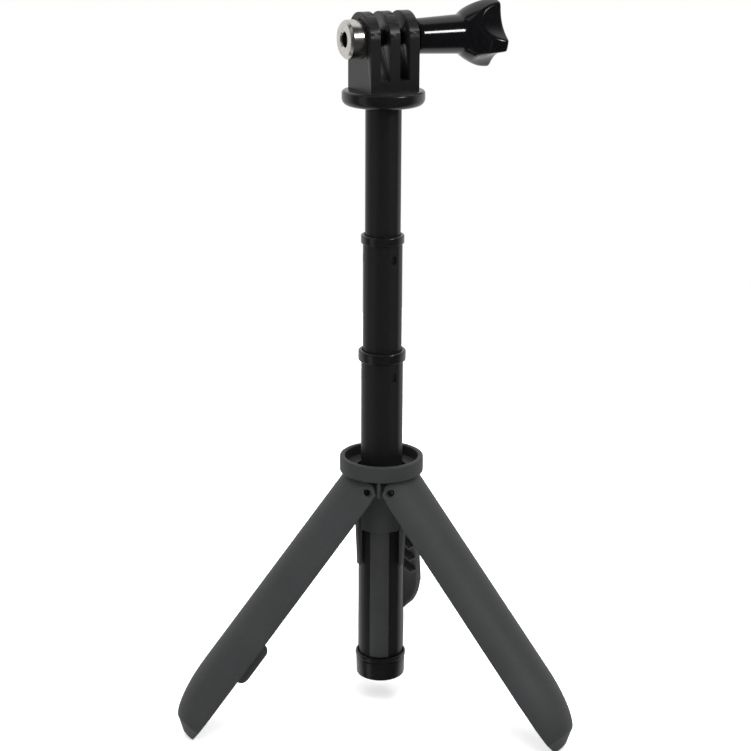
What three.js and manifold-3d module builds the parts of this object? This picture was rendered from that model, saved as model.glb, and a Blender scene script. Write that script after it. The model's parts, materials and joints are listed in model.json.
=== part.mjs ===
// Mini tripod pole for an action camera: three shell legs fold out from a hub, three tubes
// telescope out of a column, and a three-finger mount with a thumb screw clamps the camera.
// Millimetres, +Z up. The origin is the centre of the column end cap's flat underside.
import * as THREE from 'three';
import * as BufferGeometryUtils from 'three/addons/utils/BufferGeometryUtils.js';
import Module from 'manifold-3d';

const wasm = await Module();
wasm.setup();

const DEG = Math.PI / 180;
const FACETS = 36; // round pieces about the pole axis share this many sides
const SMALL_FACETS = 20; // pins, bolts and bores
const SEAT_GAP = 0.3; // between faces that rest on each other
const FIT_GAP = 0.12; // radial clearance of a sliding or pressed round fit
const OVERLAP = 0.2; // how far a feature starts inside what it grows from
const REACH = 400; // longer than the object, for cutting tools

// Hub and hinges
const HINGE_HEIGHT = 63.9; // hinge pin axes above the origin
const PIN_TO_CORE = 0.8; // hub core out to the hinge pin axes
const HINGE_TO_CUP = 3.4; // hinge pin axis up to the cup's underside
const CUP_HEIGHT = 5.0;
const CUP_PROUD = 0.1; // past the folded legs
const CUP_WALL = 1.6;
const CUP_FLOOR = 1.5;
const SEAT_FLOOR = 0.4; // floor under the lowest collar, above the cup's underside
const CORE_WALL = 0.75; // hub wall round the column
const HUB_EDGE = 0.5; // chamfer round the cup
const SKIRT_DROP = 14.1; // hinge pin axis down to the hub skirt's lower end
const GUSSET_DROP = 12; // length of the tapered gusset below the skirt
const GUSSET_WIDTH = 2.4;
const GUSSET_PROUD = 0.3; // past the core at the skirt's end
const LUG_WIDTH = 9.8;
const LUG_RADIUS = 1.75;
const FIN_THICKNESS = 1.0;
const FIN_INSET = 0.7; // inside the folded legs' outside
const PIN_RADIUS = 0.9;
const PIN_LENGTH = 16.2;

// Legs
const LEG_ANGLES = [180, -60, 60]; // directions of the three legs, degrees from +X
const LEG_LENGTH = 91; // hinge pin axis to the end of the foot
const LEG_SPLAY = 41.5; // folded to the open stop, degrees
const PIN_COVER = 3.8; // hinge pin axes out to the folded legs' outside
const LEG_WALL = 1.8;
const LEG_SEAM = 1.6; // slot between two folded legs
const CHEEK_DEPTH = 7; // solid hinge cheeks below the pin axis
const CHEEK_INSET = 2.7; // pin axis in to where the cheeks start
const HEAD_EDGE = 1.75; // hinge pin axis to the head's inner edge
const HEAD_ROUND = 1.4;
const HEAD_DROP = 1.5; // the head's inner edge runs down to here, below the pin axis
const HEEL_DROP = 4; // and from there slopes in to the heel by here
const FOOT_LENGTH = 22; // stretch of the leg that domes in to the foot
const FOOT_RADIUS = 8.4; // shoulder round the foot's end
const FOOT_CROWN = 3.6; // how far the foot's end bulges past its shoulder
const FOOT_HEEL = 2.4; // the foot's inner corner stops this far from the pole axis
const FOOT_FLAT = 0.45; // depth of the small contact flat
const RIB_COUNT = 7;
const RIB_PITCH = 9;
const RIB_THICKNESS = 1.2;
const RIB_FIRST = 11; // first rib below the pin axis
const RIB_TO_CAP = 0.75; // folded legs' ribs clear the end cap by this much
const RIB_ROOT = 0.4; // ribs and tongues grow from this deep in the wall
const TONGUE_LENGTH = 13.6;
const TONGUE_CENTRE = 61; // below the pin axis
const TONGUE_THICKNESS = 1.4;
const TONGUE_REACH = 2.1; // past the leg's edge
const TONGUE_RAMP = 2.6; // rounded ends of the tongue
const TONGUE_ROOT = 5; // how far back along the wall it is joined
const TONGUE_FREE = 0.8; // it leaves the wall this far before the leg's edge

// Column and telescoping tubes
const TUBE_RADII = { lower: 6.3, middle: 5.84, upper: 5.26 };
const TUBE_WALL = 0.34;
const FLAT_DEPTH = 0.2; // anti-turn flats along the tubes
const FLAT_ANGLES = [40, 160, 280];
const COLUMN_WALL = 0.36;
const SPINE_WIDTH = 5.7;
const SPINE_PROUD = 0.25;
const COLUMN_FOOT = 2.9; // column's lower end above the origin
const CAP_HEIGHT = 7.9;
const CAP_WALL = 0.85;
const CAP_LIP = 0.2;
const CAP_FLOOR = 2.2;
const CAP_ROUND = 1.5; // round its foot
const CAP_RIM = 1.0; // height of the proud rim
const CAP_EDGE = 0.3;
const LOWER_OUT = 34.2; // travel of each stage
const MIDDLE_OUT = 32.0;
const UPPER_OUT = 37.3;
const COLLAR_HEIGHTS = { lower: 3.2, middle: 2.5 };
const COLLAR_PROUD = { lower: 0.8, middle: 0.51 }; // past their tubes
const COLLAR_LIP = 1.0;
const COLLAR_ROUND = 0.45;
const GLIDE_HEIGHT = 3.0;
const GLIDE_WALL = 0.9;
const GLIDE_SPIGOT = 1.4; // how far it plugs into its tube
const FOOT_ROOM = 0.6; // under the lower glide when that stage is in
const STAGE_STEP = 4.8; // each folded tube ends this much above the one around it
const WINDOW_WIDTH = 1.6;
const WINDOW_HEIGHT = 2.4;
const WINDOW_DROP = 4.4; // window centre below its collar

// Camera mount
const DISC_RADIUS = 11.95;
const DISC_HEIGHT = 4.4;
const DISC_ROUND = 1.2; // upper edge
const DISC_BELLY = 2.0; // lower edge
const SOCKET_DEPTH = 2.2; // how deep the upper tube stands in the disc
const MOUNT_WIDTH = 15.2;
const MOUNT_DEPTH = 15.0;
const MOUNT_SEAT = 0.8; // how deep the block stands in the disc
const BLOCK_RISE = 14.6; // disc top up to the bolt axis
const SLOT_WIDTH = 3.1;
const SLOT_FLOOR = 3.3; // above the disc
const BOLT_RADIUS = 2.4;
const BOLT_CHAMFER = 0.5;
const NUT_RADIUS = 5.5;
const NUT_LENGTH = 5.4;
const NUT_RECESS = 0.8;
const NUT_LIP = 1.0;
const NUT_EYE = 2.2; // hole in the nut's outer end
const NUT_CHAMFER = 0.5;
const WASHER_LENGTH = 1.2;
const WASHER_RADIUS = 4.7;
const SLEEVE_RADIUS = 4.95;
const SLEEVE_FLARE = 5.65; // sleeve radius where the bell starts
const SLEEVE_LENGTH = 14.8;
const BELL_LENGTH = 11.2;
const KNOB_RADIUS = 10.1;
const KNOB_LOBES = [80, -10, -100, 170]; // degrees about +X, from -Y towards +Z
const SCALLOP_RADIUS = 12.4;
const SCALLOP_OFFSET = 19.2; // scallop axis from the bolt axis, at the knob's end
const SCALLOP_SLOPE = 8.5; // degrees that the scallop leans away from the bolt
const KNOB_DISH = 1.3; // how deep the end is dished
const BOLT_IN_KNOB = 9;
const SCREW_RADIUS = 1.45;
const SCREW_LENGTH = 13;
const SCREW_HEAD_RADIUS = 2.6;
const SCREW_HEAD_HEIGHT = 1.8;
const SCREW_COVER = 1; // plastic left over the fixing screw
const PLUG_LENGTH = 9;

// Heights and radii that follow from the sizes above
const cupBottom = HINGE_HEIGHT + HINGE_TO_CUP;
const cupTop = cupBottom + CUP_HEIGHT;
const collarSeat = cupBottom + SEAT_FLOOR;
const lowerCollarTop = collarSeat + SEAT_GAP + COLLAR_HEIGHTS.lower + LOWER_OUT;
const middleCollarTop = lowerCollarTop + SEAT_GAP + COLLAR_HEIGHTS.middle + MIDDLE_OUT;
const discBottom = middleCollarTop + SEAT_GAP + UPPER_OUT;
const discTop = discBottom + DISC_HEIGHT;
const boltHeight = discTop + BLOCK_RISE;
const collarRadii = {
  lower: TUBE_RADII.lower + COLLAR_PROUD.lower,
  middle: TUBE_RADII.middle + COLLAR_PROUD.middle,
};
const lowerFoot = COLUMN_FOOT + FOOT_ROOM + LOWER_OUT;
const middleFoot = lowerFoot + STAGE_STEP + MIDDLE_OUT;
const upperFoot = middleFoot + STAGE_STEP + UPPER_OUT;
const columnBore = TUBE_RADII.lower + FIT_GAP;
const columnRadius = columnBore + COLUMN_WALL;
const coreBore = columnRadius + SPINE_PROUD + FIT_GAP;
const coreRadius = coreBore + CORE_WALL;
const capBore = columnRadius + FIT_GAP;
const capRadius = capBore + CAP_WALL;
const hingeRadius = coreRadius + PIN_TO_CORE;
const legRadius = hingeRadius + PIN_COVER;
const cupRadius = legRadius + CUP_PROUD;
const finRadius = legRadius - FIN_INSET;

// Materials
const plastic = (color, roughness) => new THREE.MeshStandardMaterial({ color, roughness, metalness: 0 });
const metal = (color, roughness) => new THREE.MeshStandardMaterial({ color, roughness, metalness: 1 });
const GRIP = plastic(0x3c3d3f, 0.62);
const SATIN = plastic(0x1b1b1d, 0.38);
const GLOSS = plastic(0x0a0a0c, 0.12);
const TUBE = plastic(0x0b0b0d, 0.16);
const NYLON = plastic(0x2a2a2c, 0.5);
const STEEL = metal(0xb9b6b0, 0.22);
const DARK_STEEL = metal(0x3a3a3c, 0.35);

// A closed three.js geometry as a solid that can be joined and cut.
function solid(geometry) {
  const bare = geometry.clone();
  bare.deleteAttribute('normal');
  bare.deleteAttribute('uv');
  const merged = BufferGeometryUtils.mergeVertices(bare, 1e-4);
  return new wasm.Manifold(new wasm.Mesh({
    numProp: 3,
    vertProperties: new Float32Array(merged.attributes.position.array),
    triVerts: new Uint32Array(merged.index.array),
  }));
}

// A solid back as a three.js geometry.
function surface(body) {
  const mesh = body.getMesh();
  const geometry = new THREE.BufferGeometry();
  geometry.setAttribute('position', new THREE.BufferAttribute(new Float32Array(mesh.vertProperties), 3));
  geometry.setIndex(new THREE.BufferAttribute(new Uint32Array(mesh.triVerts), 1));
  geometry.computeVertexNormals();
  return geometry;
}

// A profile of [radius, height] points turned about +Z.
function turned(profile, facets = FACETS) {
  const points = profile.map(([r, z]) => new THREE.Vector2(r, z));
  points.push(points[0].clone());
  return new THREE.LatheGeometry(points, facets).rotateX(Math.PI / 2);
}

// A ring or a disc between two heights, with its edges in the profile.
function ring(outer, inner, low, high, facets = FACETS) {
  return turned([[inner, low], [outer, low], [outer, high], [inner, high]], facets);
}

function rod(radius, low, high, facets = FACETS) {
  return turned([[0, low], [radius, low], [radius, high], [0, high]], facets);
}

// A rod along +X or +Y instead of +Z.
const alongX = (geometry) => geometry.rotateY(Math.PI / 2);
const alongY = (geometry) => geometry.rotateX(-Math.PI / 2);

// A closed outline of [x, y] points raised from one height to another.
function raised(outline, low, high, holes = []) {
  const shape = new THREE.Shape(outline.map(([x, y]) => new THREE.Vector2(x, y)));
  shape.holes = holes.map((hole) => new THREE.Path(hole.map(([x, y]) => new THREE.Vector2(x, y))));
  const settings = { depth: high - low, bevelEnabled: false };
  return new THREE.ExtrudeGeometry(shape, settings).translate(0, 0, low);
}

function block(x0, x1, y0, y1, z0, z1) {
  return new THREE.BoxGeometry(x1 - x0, y1 - y0, z1 - z0)
    .translate((x0 + x1) / 2, (y0 + y1) / 2, (z0 + z1) / 2);
}

function arc(cx, cy, radius, from, to, steps) {
  return Array.from({ length: steps + 1 }, (_, i) => {
    const angle = (from + ((to - from) * i) / steps) * DEG;
    return [cx + radius * Math.cos(angle), cy + radius * Math.sin(angle)];
  });
}

// Copies of a solid at several angles about the pole axis, joined.
function aroundPole(body, angles) {
  return angles.map((angle) => body.rotate([0, 0, angle])).reduce((all, next) => all.add(next));
}

// The outline of a tube: round, with a flat along it at each flat angle.
function tubeOutline(radius) {
  const halfAngle = Math.acos((radius - FLAT_DEPTH) / radius) / DEG;
  const angles = new Set();
  for (let i = 0; i < FACETS; i += 1) angles.add((i * 360) / FACETS);
  const offFlat = (angle) => FLAT_ANGLES.every((flat) => {
    const apart = Math.abs(((angle - flat + 540) % 360) - 180);
    return apart > halfAngle + 1;
  });
  const kept = [...angles].filter(offFlat);
  FLAT_ANGLES.forEach((flat) => kept.push((flat - halfAngle + 360) % 360, (flat + halfAngle) % 360));
  return kept.sort((a, b) => a - b)
    .map((angle) => [radius * Math.cos(angle * DEG), radius * Math.sin(angle * DEG)]);
}

function tube(radius, low, high) {
  return raised(tubeOutline(radius), low, high, [tubeOutline(radius - TUBE_WALL)]);
}

// Hub: cup, core round the column, hinge lugs, gussets and the fins between the leg heads.
function hubHousing() {
  const edge = HUB_EDGE;
  const inner = cupRadius - CUP_WALL;
  const root = coreBore + OVERLAP;
  const seat = collarRadii.lower + SEAT_GAP;
  const skirtEnd = HINGE_HEIGHT - SKIRT_DROP;
  const cup = solid(turned([
    [coreBore, skirtEnd], [coreRadius, skirtEnd], [coreRadius, cupBottom],
    [cupRadius - edge, cupBottom], [cupRadius, cupBottom + edge],
    [cupRadius, cupTop - edge], [cupRadius - edge, cupTop],
    [inner + edge / 2, cupTop], [inner, cupTop - edge / 2],
    [inner, cupBottom + CUP_FLOOR], [seat, cupBottom + CUP_FLOOR],
    [seat, collarSeat], [coreBore, collarSeat],
  ]));
  const web = solid(block(root, hingeRadius, -LUG_WIDTH / 2, LUG_WIDTH / 2,
    HINGE_HEIGHT - LUG_RADIUS, HINGE_HEIGHT + LUG_RADIUS));
  const knuckle = solid(alongY(rod(LUG_RADIUS, -LUG_WIDTH / 2, LUG_WIDTH / 2, SMALL_FACETS))
    .translate(hingeRadius, 0, HINGE_HEIGHT));
  const gusset = solid(alongY(raised([
    [root, -(HINGE_HEIGHT - LUG_RADIUS)], [root, -(skirtEnd - GUSSET_DROP)],
    [root + GUSSET_PROUD, -(skirtEnd - GUSSET_DROP)], [coreRadius + GUSSET_PROUD, -skirtEnd],
    [coreRadius + GUSSET_PROUD + OVERLAP, -(HINGE_HEIGHT - LUG_RADIUS)],
  ].reverse(), -GUSSET_WIDTH / 2, GUSSET_WIDTH / 2)));
  const fin = solid(block(root, finRadius, -FIN_THICKNESS / 2, FIN_THICKNESS / 2,
    HINGE_HEIGHT - LUG_RADIUS, cupBottom + OVERLAP));
  const hinge = web.add(knuckle).add(gusset);
  const pinHole = solid(alongY(rod(PIN_RADIUS + FIT_GAP / 2, -REACH / 2, REACH / 2, SMALL_FACETS))
    .translate(hingeRadius, 0, HINGE_HEIGHT))
    .intersect(solid(block(0, cupRadius, -LUG_WIDTH, LUG_WIDTH, 0, cupBottom)));
  const between = LEG_ANGLES.map((angle) => angle + 60);
  return surface(cup.add(aroundPole(hinge, LEG_ANGLES)).add(aroundPole(fin, between))
    .subtract(aroundPole(pinHole, LEG_ANGLES)));
}

// Column: a tube with three raised spines, bored to guide the lower tube and its flats.
function columnSleeve() {
  const top = collarSeat - SEAT_GAP;
  const shell = solid(raised(arc(0, 0, columnRadius, 0, 360 - 360 / FACETS, FACETS - 1), COLUMN_FOOT, top));
  const spine = solid(block(0, columnRadius + SPINE_PROUD, -SPINE_WIDTH / 2, SPINE_WIDTH / 2,
    CAP_HEIGHT + SEAT_GAP, top));
  const crown = solid(rod(columnRadius + SPINE_PROUD, COLUMN_FOOT, top));
  const spines = aroundPole(spine, LEG_ANGLES.map((angle) => angle + 60)).intersect(crown);
  const bore = solid(raised(tubeOutline(columnBore), -REACH, REACH));
  return surface(shell.add(spines).subtract(bore));
}

function endCap() {
  const body = capRadius - CAP_LIP;
  const rim = CAP_HEIGHT - CAP_RIM;
  return turned([
    [0, 0], [body - CAP_ROUND, 0],
    ...arc(body - CAP_ROUND, CAP_ROUND, CAP_ROUND, -60, 0, 3),
    [body, rim - 2 * CAP_LIP], [capRadius, rim],
    [capRadius, CAP_HEIGHT - CAP_EDGE], [capRadius - CAP_EDGE, CAP_HEIGHT],
    [capBore, CAP_HEIGHT], [capBore, CAP_FLOOR], [0, CAP_FLOOR],
  ]);
}

// Radius of the folded legs' outside, or of an inner layer, at a distance below the pin axis.
function legProfile(inset) {
  const shoulder = LEG_LENGTH - FOOT_LENGTH;
  const rimDepth = LEG_LENGTH - FOOT_CROWN;
  const steps = 7;
  const dome = Array.from({ length: steps + 1 }, (_, i) => {
    const t = (i / steps) * 0.5 * Math.PI;
    const drop = Math.sin(t) * (rimDepth - shoulder);
    const draw = (1 - Math.cos(t) ** 1.2) * (legRadius - FOOT_RADIUS);
    return [legRadius - draw - inset, shoulder + drop - (inset * i) / steps];
  });
  return [...dome, [FOOT_RADIUS * 0.55, LEG_LENGTH - FOOT_CROWN * 0.3 - inset],
    [0, LEG_LENGTH - inset]];
}

// One leg, folded against the pole along +X.
function leg() {
  const top = HEAD_ROUND + HINGE_TO_CUP;
  const down = ([r, depth]) => [r, HINGE_HEIGHT - depth];
  const outside = [[0, -top], [legRadius, -top], ...legProfile(0)].map(down).reverse();
  const inside = [[0, -top - 1], [legRadius - LEG_WALL, -top - 1], ...legProfile(LEG_WALL)]
    .map(down).reverse();
  const whole = solid(turned(outside));
  const hollow = solid(turned(inside));

  const apex = LEG_SEAM / 2 / Math.sin(60 * DEG);
  const far = 3 * legRadius;
  const sector = solid(raised([[apex, 0], [apex + far * Math.cos(-60 * DEG), far * Math.sin(-60 * DEG)],
    [2 * far, 0], [apex + far * Math.cos(60 * DEG), far * Math.sin(60 * DEG)]], -REACH, REACH));

  const lugSide = LUG_WIDTH / 2 + SEAT_GAP;
  const cheekHollow = solid(block(-REACH, REACH, -lugSide, lugSide, -REACH, REACH))
    .add(solid(block(-REACH, REACH, -REACH, REACH, -REACH, HINGE_HEIGHT - CHEEK_DEPTH)))
    .add(solid(block(-REACH, hingeRadius - CHEEK_INSET, -REACH, REACH, -REACH, REACH)));
  const shell = whole.subtract(hollow.intersect(cheekHollow));

  // Side tongue that tucks behind the next leg.
  const tongueOuter = legRadius - LEG_WALL - SEAT_GAP;
  const tongueInner = tongueOuter - TONGUE_THICKNESS;
  const edgeAngle = 60 - Math.asin(LEG_SEAM / 2 / tongueOuter) / DEG;
  const half = TONGUE_LENGTH / 2;
  const ramp = arc(0, 0, 1, 0, 90, 4).map(([x, y]) => [x * TONGUE_REACH, half - TONGUE_RAMP * (1 - y)]);
  const tongueTip = [[-TONGUE_ROOT, -half], ...ramp.map(([x, z]) => [x, -z]).reverse(), ...ramp,
    [-TONGUE_ROOT, half]];
  const rootSide = [[-TONGUE_ROOT, -half], [-TONGUE_FREE, -half], [-TONGUE_FREE, half],
    [-TONGUE_ROOT, half]];
  const seenFromAxis = (side) => solid(raised(side, 0, 2 * legRadius).rotateX(Math.PI / 2)
    .rotateZ((edgeAngle + 90) * DEG).translate(0, 0, HINGE_HEIGHT - TONGUE_CENTRE));

  // Thin ribs across the inside, cut back where the other neighbour's tongue tucks in.
  const roomReach = TONGUE_REACH + 2 * SEAT_GAP;
  const roomHalf = half + 2 * SEAT_GAP;
  const tongueRoom = seenFromAxis([[-TONGUE_ROOT, -roomHalf], [roomReach, -roomHalf],
    [roomReach, roomHalf], [-TONGUE_ROOT, roomHalf]]).rotate([0, 0, -120]);
  const ribOuter = legRadius - LEG_WALL + RIB_ROOT;
  let ribbed = shell;
  for (let i = 0; i < RIB_COUNT; i += 1) {
    const middle = HINGE_HEIGHT - RIB_FIRST - i * RIB_PITCH;
    const rib = ring(ribOuter, capRadius + RIB_TO_CAP, middle - RIB_THICKNESS / 2, middle + RIB_THICKNESS / 2);
    ribbed = ribbed.add(solid(rib).subtract(tongueRoom));
  }
  ribbed = ribbed.intersect(sector);
  const tongue = seenFromAxis(tongueTip).intersect(solid(ring(tongueOuter, tongueInner, -REACH, REACH)));
  const root = seenFromAxis(rootSide)
    .intersect(solid(ring(ribOuter, tongueInner, -REACH, REACH)));

  // Head outline: flat on top at the open stop, rounded where it passes the hub.
  const open = (a, b) => [a * Math.cos(LEG_SPLAY * DEG) + b * Math.sin(LEG_SPLAY * DEG),
    -a * Math.sin(LEG_SPLAY * DEG) + b * Math.cos(LEG_SPLAY * DEG)];
  const rise = HINGE_TO_CUP - SEAT_GAP;
  const outline = [
    open(2 * legRadius, rise),
    ...arc(-HEAD_EDGE + HEAD_ROUND, rise - HEAD_ROUND, HEAD_ROUND, 90, 180, 5).map(([a, b]) => open(a, b)),
    ...arc(0, 0, HEAD_EDGE, 180, 180 + LEG_SPLAY, 4).map(([a, b]) => open(a, b)),
    [-HEAD_EDGE, -HEAD_DROP], [FOOT_HEEL - hingeRadius, -HEEL_DROP], [FOOT_HEEL - hingeRadius, -REACH],
    [2 * legRadius, -REACH],
  ].map(([n, z]) => [n + hingeRadius, z + HINGE_HEIGHT]);
  const head = solid(raised(outline, -REACH / 2, REACH / 2).rotateX(Math.PI / 2));

  const knuckleRoom = solid(alongY(rod(LUG_RADIUS + SEAT_GAP, -lugSide, lugSide, SMALL_FACETS))
    .translate(hingeRadius, 0, HINGE_HEIGHT));
  const pinHole = solid(alongY(rod(PIN_RADIUS + FIT_GAP / 2, -REACH / 2, REACH / 2, SMALL_FACETS))
    .translate(hingeRadius, 0, HINGE_HEIGHT));
  return ribbed.add(tongue).add(root).intersect(head).subtract(knuckleRoom).subtract(pinHole);
}

// The leg swung out to its stop, with a small flat where the foot meets the ground.
function openLeg(folded) {
  const out = folded.translate([-hingeRadius, 0, -HINGE_HEIGHT]).rotate([0, -LEG_SPLAY, 0])
    .translate([hingeRadius, 0, HINGE_HEIGHT]);
  const floor = out.boundingBox().min[2] + FOOT_FLAT;
  return out.intersect(solid(block(-REACH, REACH, -REACH, REACH, floor, REACH)));
}

function collar(stage, top) {
  const outer = collarRadii[stage];
  const tubeSide = TUBE_RADII[stage] + FIT_GAP;
  const next = stage === 'lower' ? TUBE_RADII.middle : TUBE_RADII.upper;
  const bottom = top - COLLAR_HEIGHTS[stage];
  const round = COLLAR_ROUND;
  return turned([
    [tubeSide, bottom], [outer - round, bottom], [outer, bottom + round],
    [outer, top - round], [outer - round, top], [next + FIT_GAP, top],
    [next + FIT_GAP, top - COLLAR_LIP], [tubeSide, top - COLLAR_LIP],
  ]);
}

function glide(radius, outerBore, bottom) {
  const inner = radius - TUBE_WALL - GLIDE_WALL;
  const plug = radius - TUBE_WALL - FLAT_DEPTH - FIT_GAP;
  const shoulder = bottom + GLIDE_HEIGHT;
  return turned([
    [inner, bottom], [outerBore - FIT_GAP, bottom], [outerBore - FIT_GAP, shoulder],
    [plug, shoulder], [plug, shoulder + GLIDE_SPIGOT], [inner, shoulder + GLIDE_SPIGOT],
  ], SMALL_FACETS);
}

// A stage tube with the small windows that its collar snaps into.
function windowedTube(radius, low, high, collarBottom) {
  const body = solid(tube(radius, low, high));
  const middle = collarBottom - WINDOW_DROP;
  const cut = solid(block(radius / 2, radius * 2, -WINDOW_WIDTH / 2, WINDOW_WIDTH / 2,
    middle - WINDOW_HEIGHT / 2, middle + WINDOW_HEIGHT / 2));
  return surface(body.subtract(aroundPole(cut, FLAT_ANGLES)));
}

// Camera mount
function mountDisc() {
  const low = discBottom;
  const high = discTop;
  const socket = TUBE_RADII.upper + FIT_GAP;
  const body = solid(turned([
    [socket, low], [DISC_RADIUS - DISC_BELLY, low],
    ...arc(DISC_RADIUS - DISC_BELLY, low + DISC_BELLY, DISC_BELLY, -60, 0, 3),
    ...arc(DISC_RADIUS - DISC_ROUND, high - DISC_ROUND, DISC_ROUND, 0, 90, 3),
    [SCREW_RADIUS + FIT_GAP, high], [SCREW_RADIUS + FIT_GAP, low + SOCKET_DEPTH],
    [socket, low + SOCKET_DEPTH],
  ]));
  const seatX = MOUNT_WIDTH / 2 + FIT_GAP;
  const seatY = MOUNT_DEPTH / 2 + FIT_GAP;
  return surface(body.subtract(solid(block(-seatX, seatX, -seatY, seatY, high - MOUNT_SEAT, high + 1))));
}

function mountFingers() {
  const foot = discTop - MOUNT_SEAT + SEAT_GAP;
  const half = MOUNT_DEPTH / 2;
  const side = raised([
    [half, foot], ...arc(0, boltHeight, half, 0, 180, 16), [-half, foot],
  ], -MOUNT_WIDTH / 2, MOUNT_WIDTH / 2).rotateX(Math.PI / 2).rotateZ(Math.PI / 2);
  let body = solid(side);
  const finger = (MOUNT_WIDTH - 2 * SLOT_WIDTH) / 3;
  const slotCentre = (finger + SLOT_WIDTH) / 2;
  [-slotCentre, slotCentre].forEach((x) => {
    body = body.subtract(solid(block(x - SLOT_WIDTH / 2, x + SLOT_WIDTH / 2, -REACH, REACH,
      discTop + SLOT_FLOOR, REACH)));
  });
  const bore = alongX(rod(BOLT_RADIUS + FIT_GAP, -REACH / 2, REACH / 2, SMALL_FACETS));
  const recess = alongX(rod(NUT_RADIUS + FIT_GAP, -MOUNT_WIDTH, -MOUNT_WIDTH / 2 + NUT_RECESS, SMALL_FACETS));
  const screwHole = rod(SCREW_RADIUS + FIT_GAP, 0, discTop + SLOT_FLOOR - SCREW_COVER, SMALL_FACETS);
  return surface(body.subtract(solid(bore.translate(0, 0, boltHeight)))
    .subtract(solid(recess.translate(0, 0, boltHeight))).subtract(solid(screwHole)));
}

function clampNut() {
  const inner = -MOUNT_WIDTH / 2 + NUT_RECESS - SEAT_GAP;
  const outer = inner - NUT_LENGTH;
  return alongX(turned([
    [NUT_EYE, outer], [NUT_EYE, outer + NUT_LIP], [BOLT_RADIUS + FIT_GAP, outer + NUT_LIP],
    [BOLT_RADIUS + FIT_GAP, inner], [NUT_RADIUS, inner], [NUT_RADIUS, outer + NUT_CHAMFER],
    [NUT_RADIUS - NUT_CHAMFER, outer],
  ].reverse(), SMALL_FACETS)).translate(0, 0, boltHeight);
}

const washerStart = MOUNT_WIDTH / 2 + SEAT_GAP;
const sleeveStart = washerStart + WASHER_LENGTH + SEAT_GAP;
const bellStart = sleeveStart + SLEEVE_LENGTH;
const knobEnd = bellStart + BELL_LENGTH;

function thrustWasher() {
  return alongX(ring(WASHER_RADIUS, BOLT_RADIUS + FIT_GAP, washerStart, washerStart + WASHER_LENGTH,
    SMALL_FACETS)).translate(0, 0, boltHeight);
}

function clampBolt() {
  const nutEnd = -MOUNT_WIDTH / 2 + NUT_RECESS - SEAT_GAP - NUT_LENGTH;
  const start = nutEnd + NUT_LIP + SEAT_GAP;
  const end = sleeveStart + BOLT_IN_KNOB;
  return alongX(turned([
    [0, start], [BOLT_RADIUS - BOLT_CHAMFER, start], [BOLT_RADIUS, start + BOLT_CHAMFER],
    [BOLT_RADIUS, end], [0, end],
  ], SMALL_FACETS)).translate(0, 0, boltHeight);
}

// Knob: a sleeve that flares in to a bell, scooped out between its lobes and dished at the end.
function clampKnob() {
  const edge = 0.35;
  const rim = 0.7;
  const bell = [0, 0.2, 0.4, 0.6, 0.8, 1].map((t) => [
    KNOB_RADIUS - (KNOB_RADIUS - SLEEVE_FLARE) * (1 - t) ** 2,
    bellStart + t * (BELL_LENGTH - rim),
  ]);
  const blank = solid(turned([
    [0, sleeveStart], [SLEEVE_RADIUS - edge, sleeveStart], [SLEEVE_RADIUS, sleeveStart + edge],
    ...bell, [KNOB_RADIUS - rim, knobEnd], [0, knobEnd],
  ]));
  const scoop = solid(new THREE.CylinderGeometry(SCALLOP_RADIUS, SCALLOP_RADIUS, BELL_LENGTH * 4, 60)
    .rotateX(Math.PI / 2).rotateY(-SCALLOP_SLOPE * DEG).translate(SCALLOP_OFFSET, 0, knobEnd));
  const dishRadius = (KNOB_RADIUS ** 2 + KNOB_DISH ** 2) / (2 * KNOB_DISH);
  const dish = solid(new THREE.SphereGeometry(dishRadius, 60, 60)
    .translate(0, 0, knobEnd + dishRadius - KNOB_DISH));
  const socket = solid(rod(BOLT_RADIUS + FIT_GAP, sleeveStart - 1, sleeveStart + BOLT_IN_KNOB + SEAT_GAP,
    SMALL_FACETS));
  // Laid along +X, the knob's own X axis points down and its Y axis stays the pole's Y.
  const spacing = 360 / KNOB_LOBES.length;
  const scoops = KNOB_LOBES.map((lobe) => scoop.rotate([0, 0, 270 - lobe - spacing / 2]))
    .reduce((all, next) => all.add(next));
  return alongX(surface(blank.subtract(scoops).subtract(dish).subtract(socket))).translate(0, 0, boltHeight);
}

function tubePlug() {
  const top = discBottom + SOCKET_DEPTH - SEAT_GAP;
  const outer = TUBE_RADII.upper - TUBE_WALL - FLAT_DEPTH - FIT_GAP;
  return ring(outer, SCREW_RADIUS + FIT_GAP, top - PLUG_LENGTH, top);
}

function fixingScrew() {
  const head = discBottom + SOCKET_DEPTH - SEAT_GAP - PLUG_LENGTH - SEAT_GAP;
  const under = head - SCREW_HEAD_HEIGHT;
  return turned([
    [0, under], [SCREW_HEAD_RADIUS, under], [SCREW_HEAD_RADIUS, head], [SCREW_RADIUS, head],
    [SCREW_RADIUS, head + SCREW_LENGTH], [0, head + SCREW_LENGTH],
  ], SMALL_FACETS);
}

const product = new THREE.Group();

function add(name, geometry, material, parent = product) {
  const mesh = new THREE.Mesh(geometry, material);
  mesh.name = name;
  parent.add(mesh);
}

add('hub_housing', hubHousing(), GRIP);
add('column_sleeve', columnSleeve(), TUBE);
add('end_cap', endCap(), SATIN);

const legGeometry = surface(openLeg(leg()));
LEG_ANGLES.forEach((angle, i) => {
  const side = new THREE.Group();
  side.rotation.z = angle * DEG;
  product.add(side);
  add(`leg_${i + 1}`, legGeometry.clone(), GRIP, side);
  const pin = alongY(rod(PIN_RADIUS, -PIN_LENGTH / 2, PIN_LENGTH / 2, SMALL_FACETS))
    .translate(hingeRadius, 0, HINGE_HEIGHT);
  add(`hinge_pin_${i + 1}`, pin, DARK_STEEL, side);
});

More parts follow.
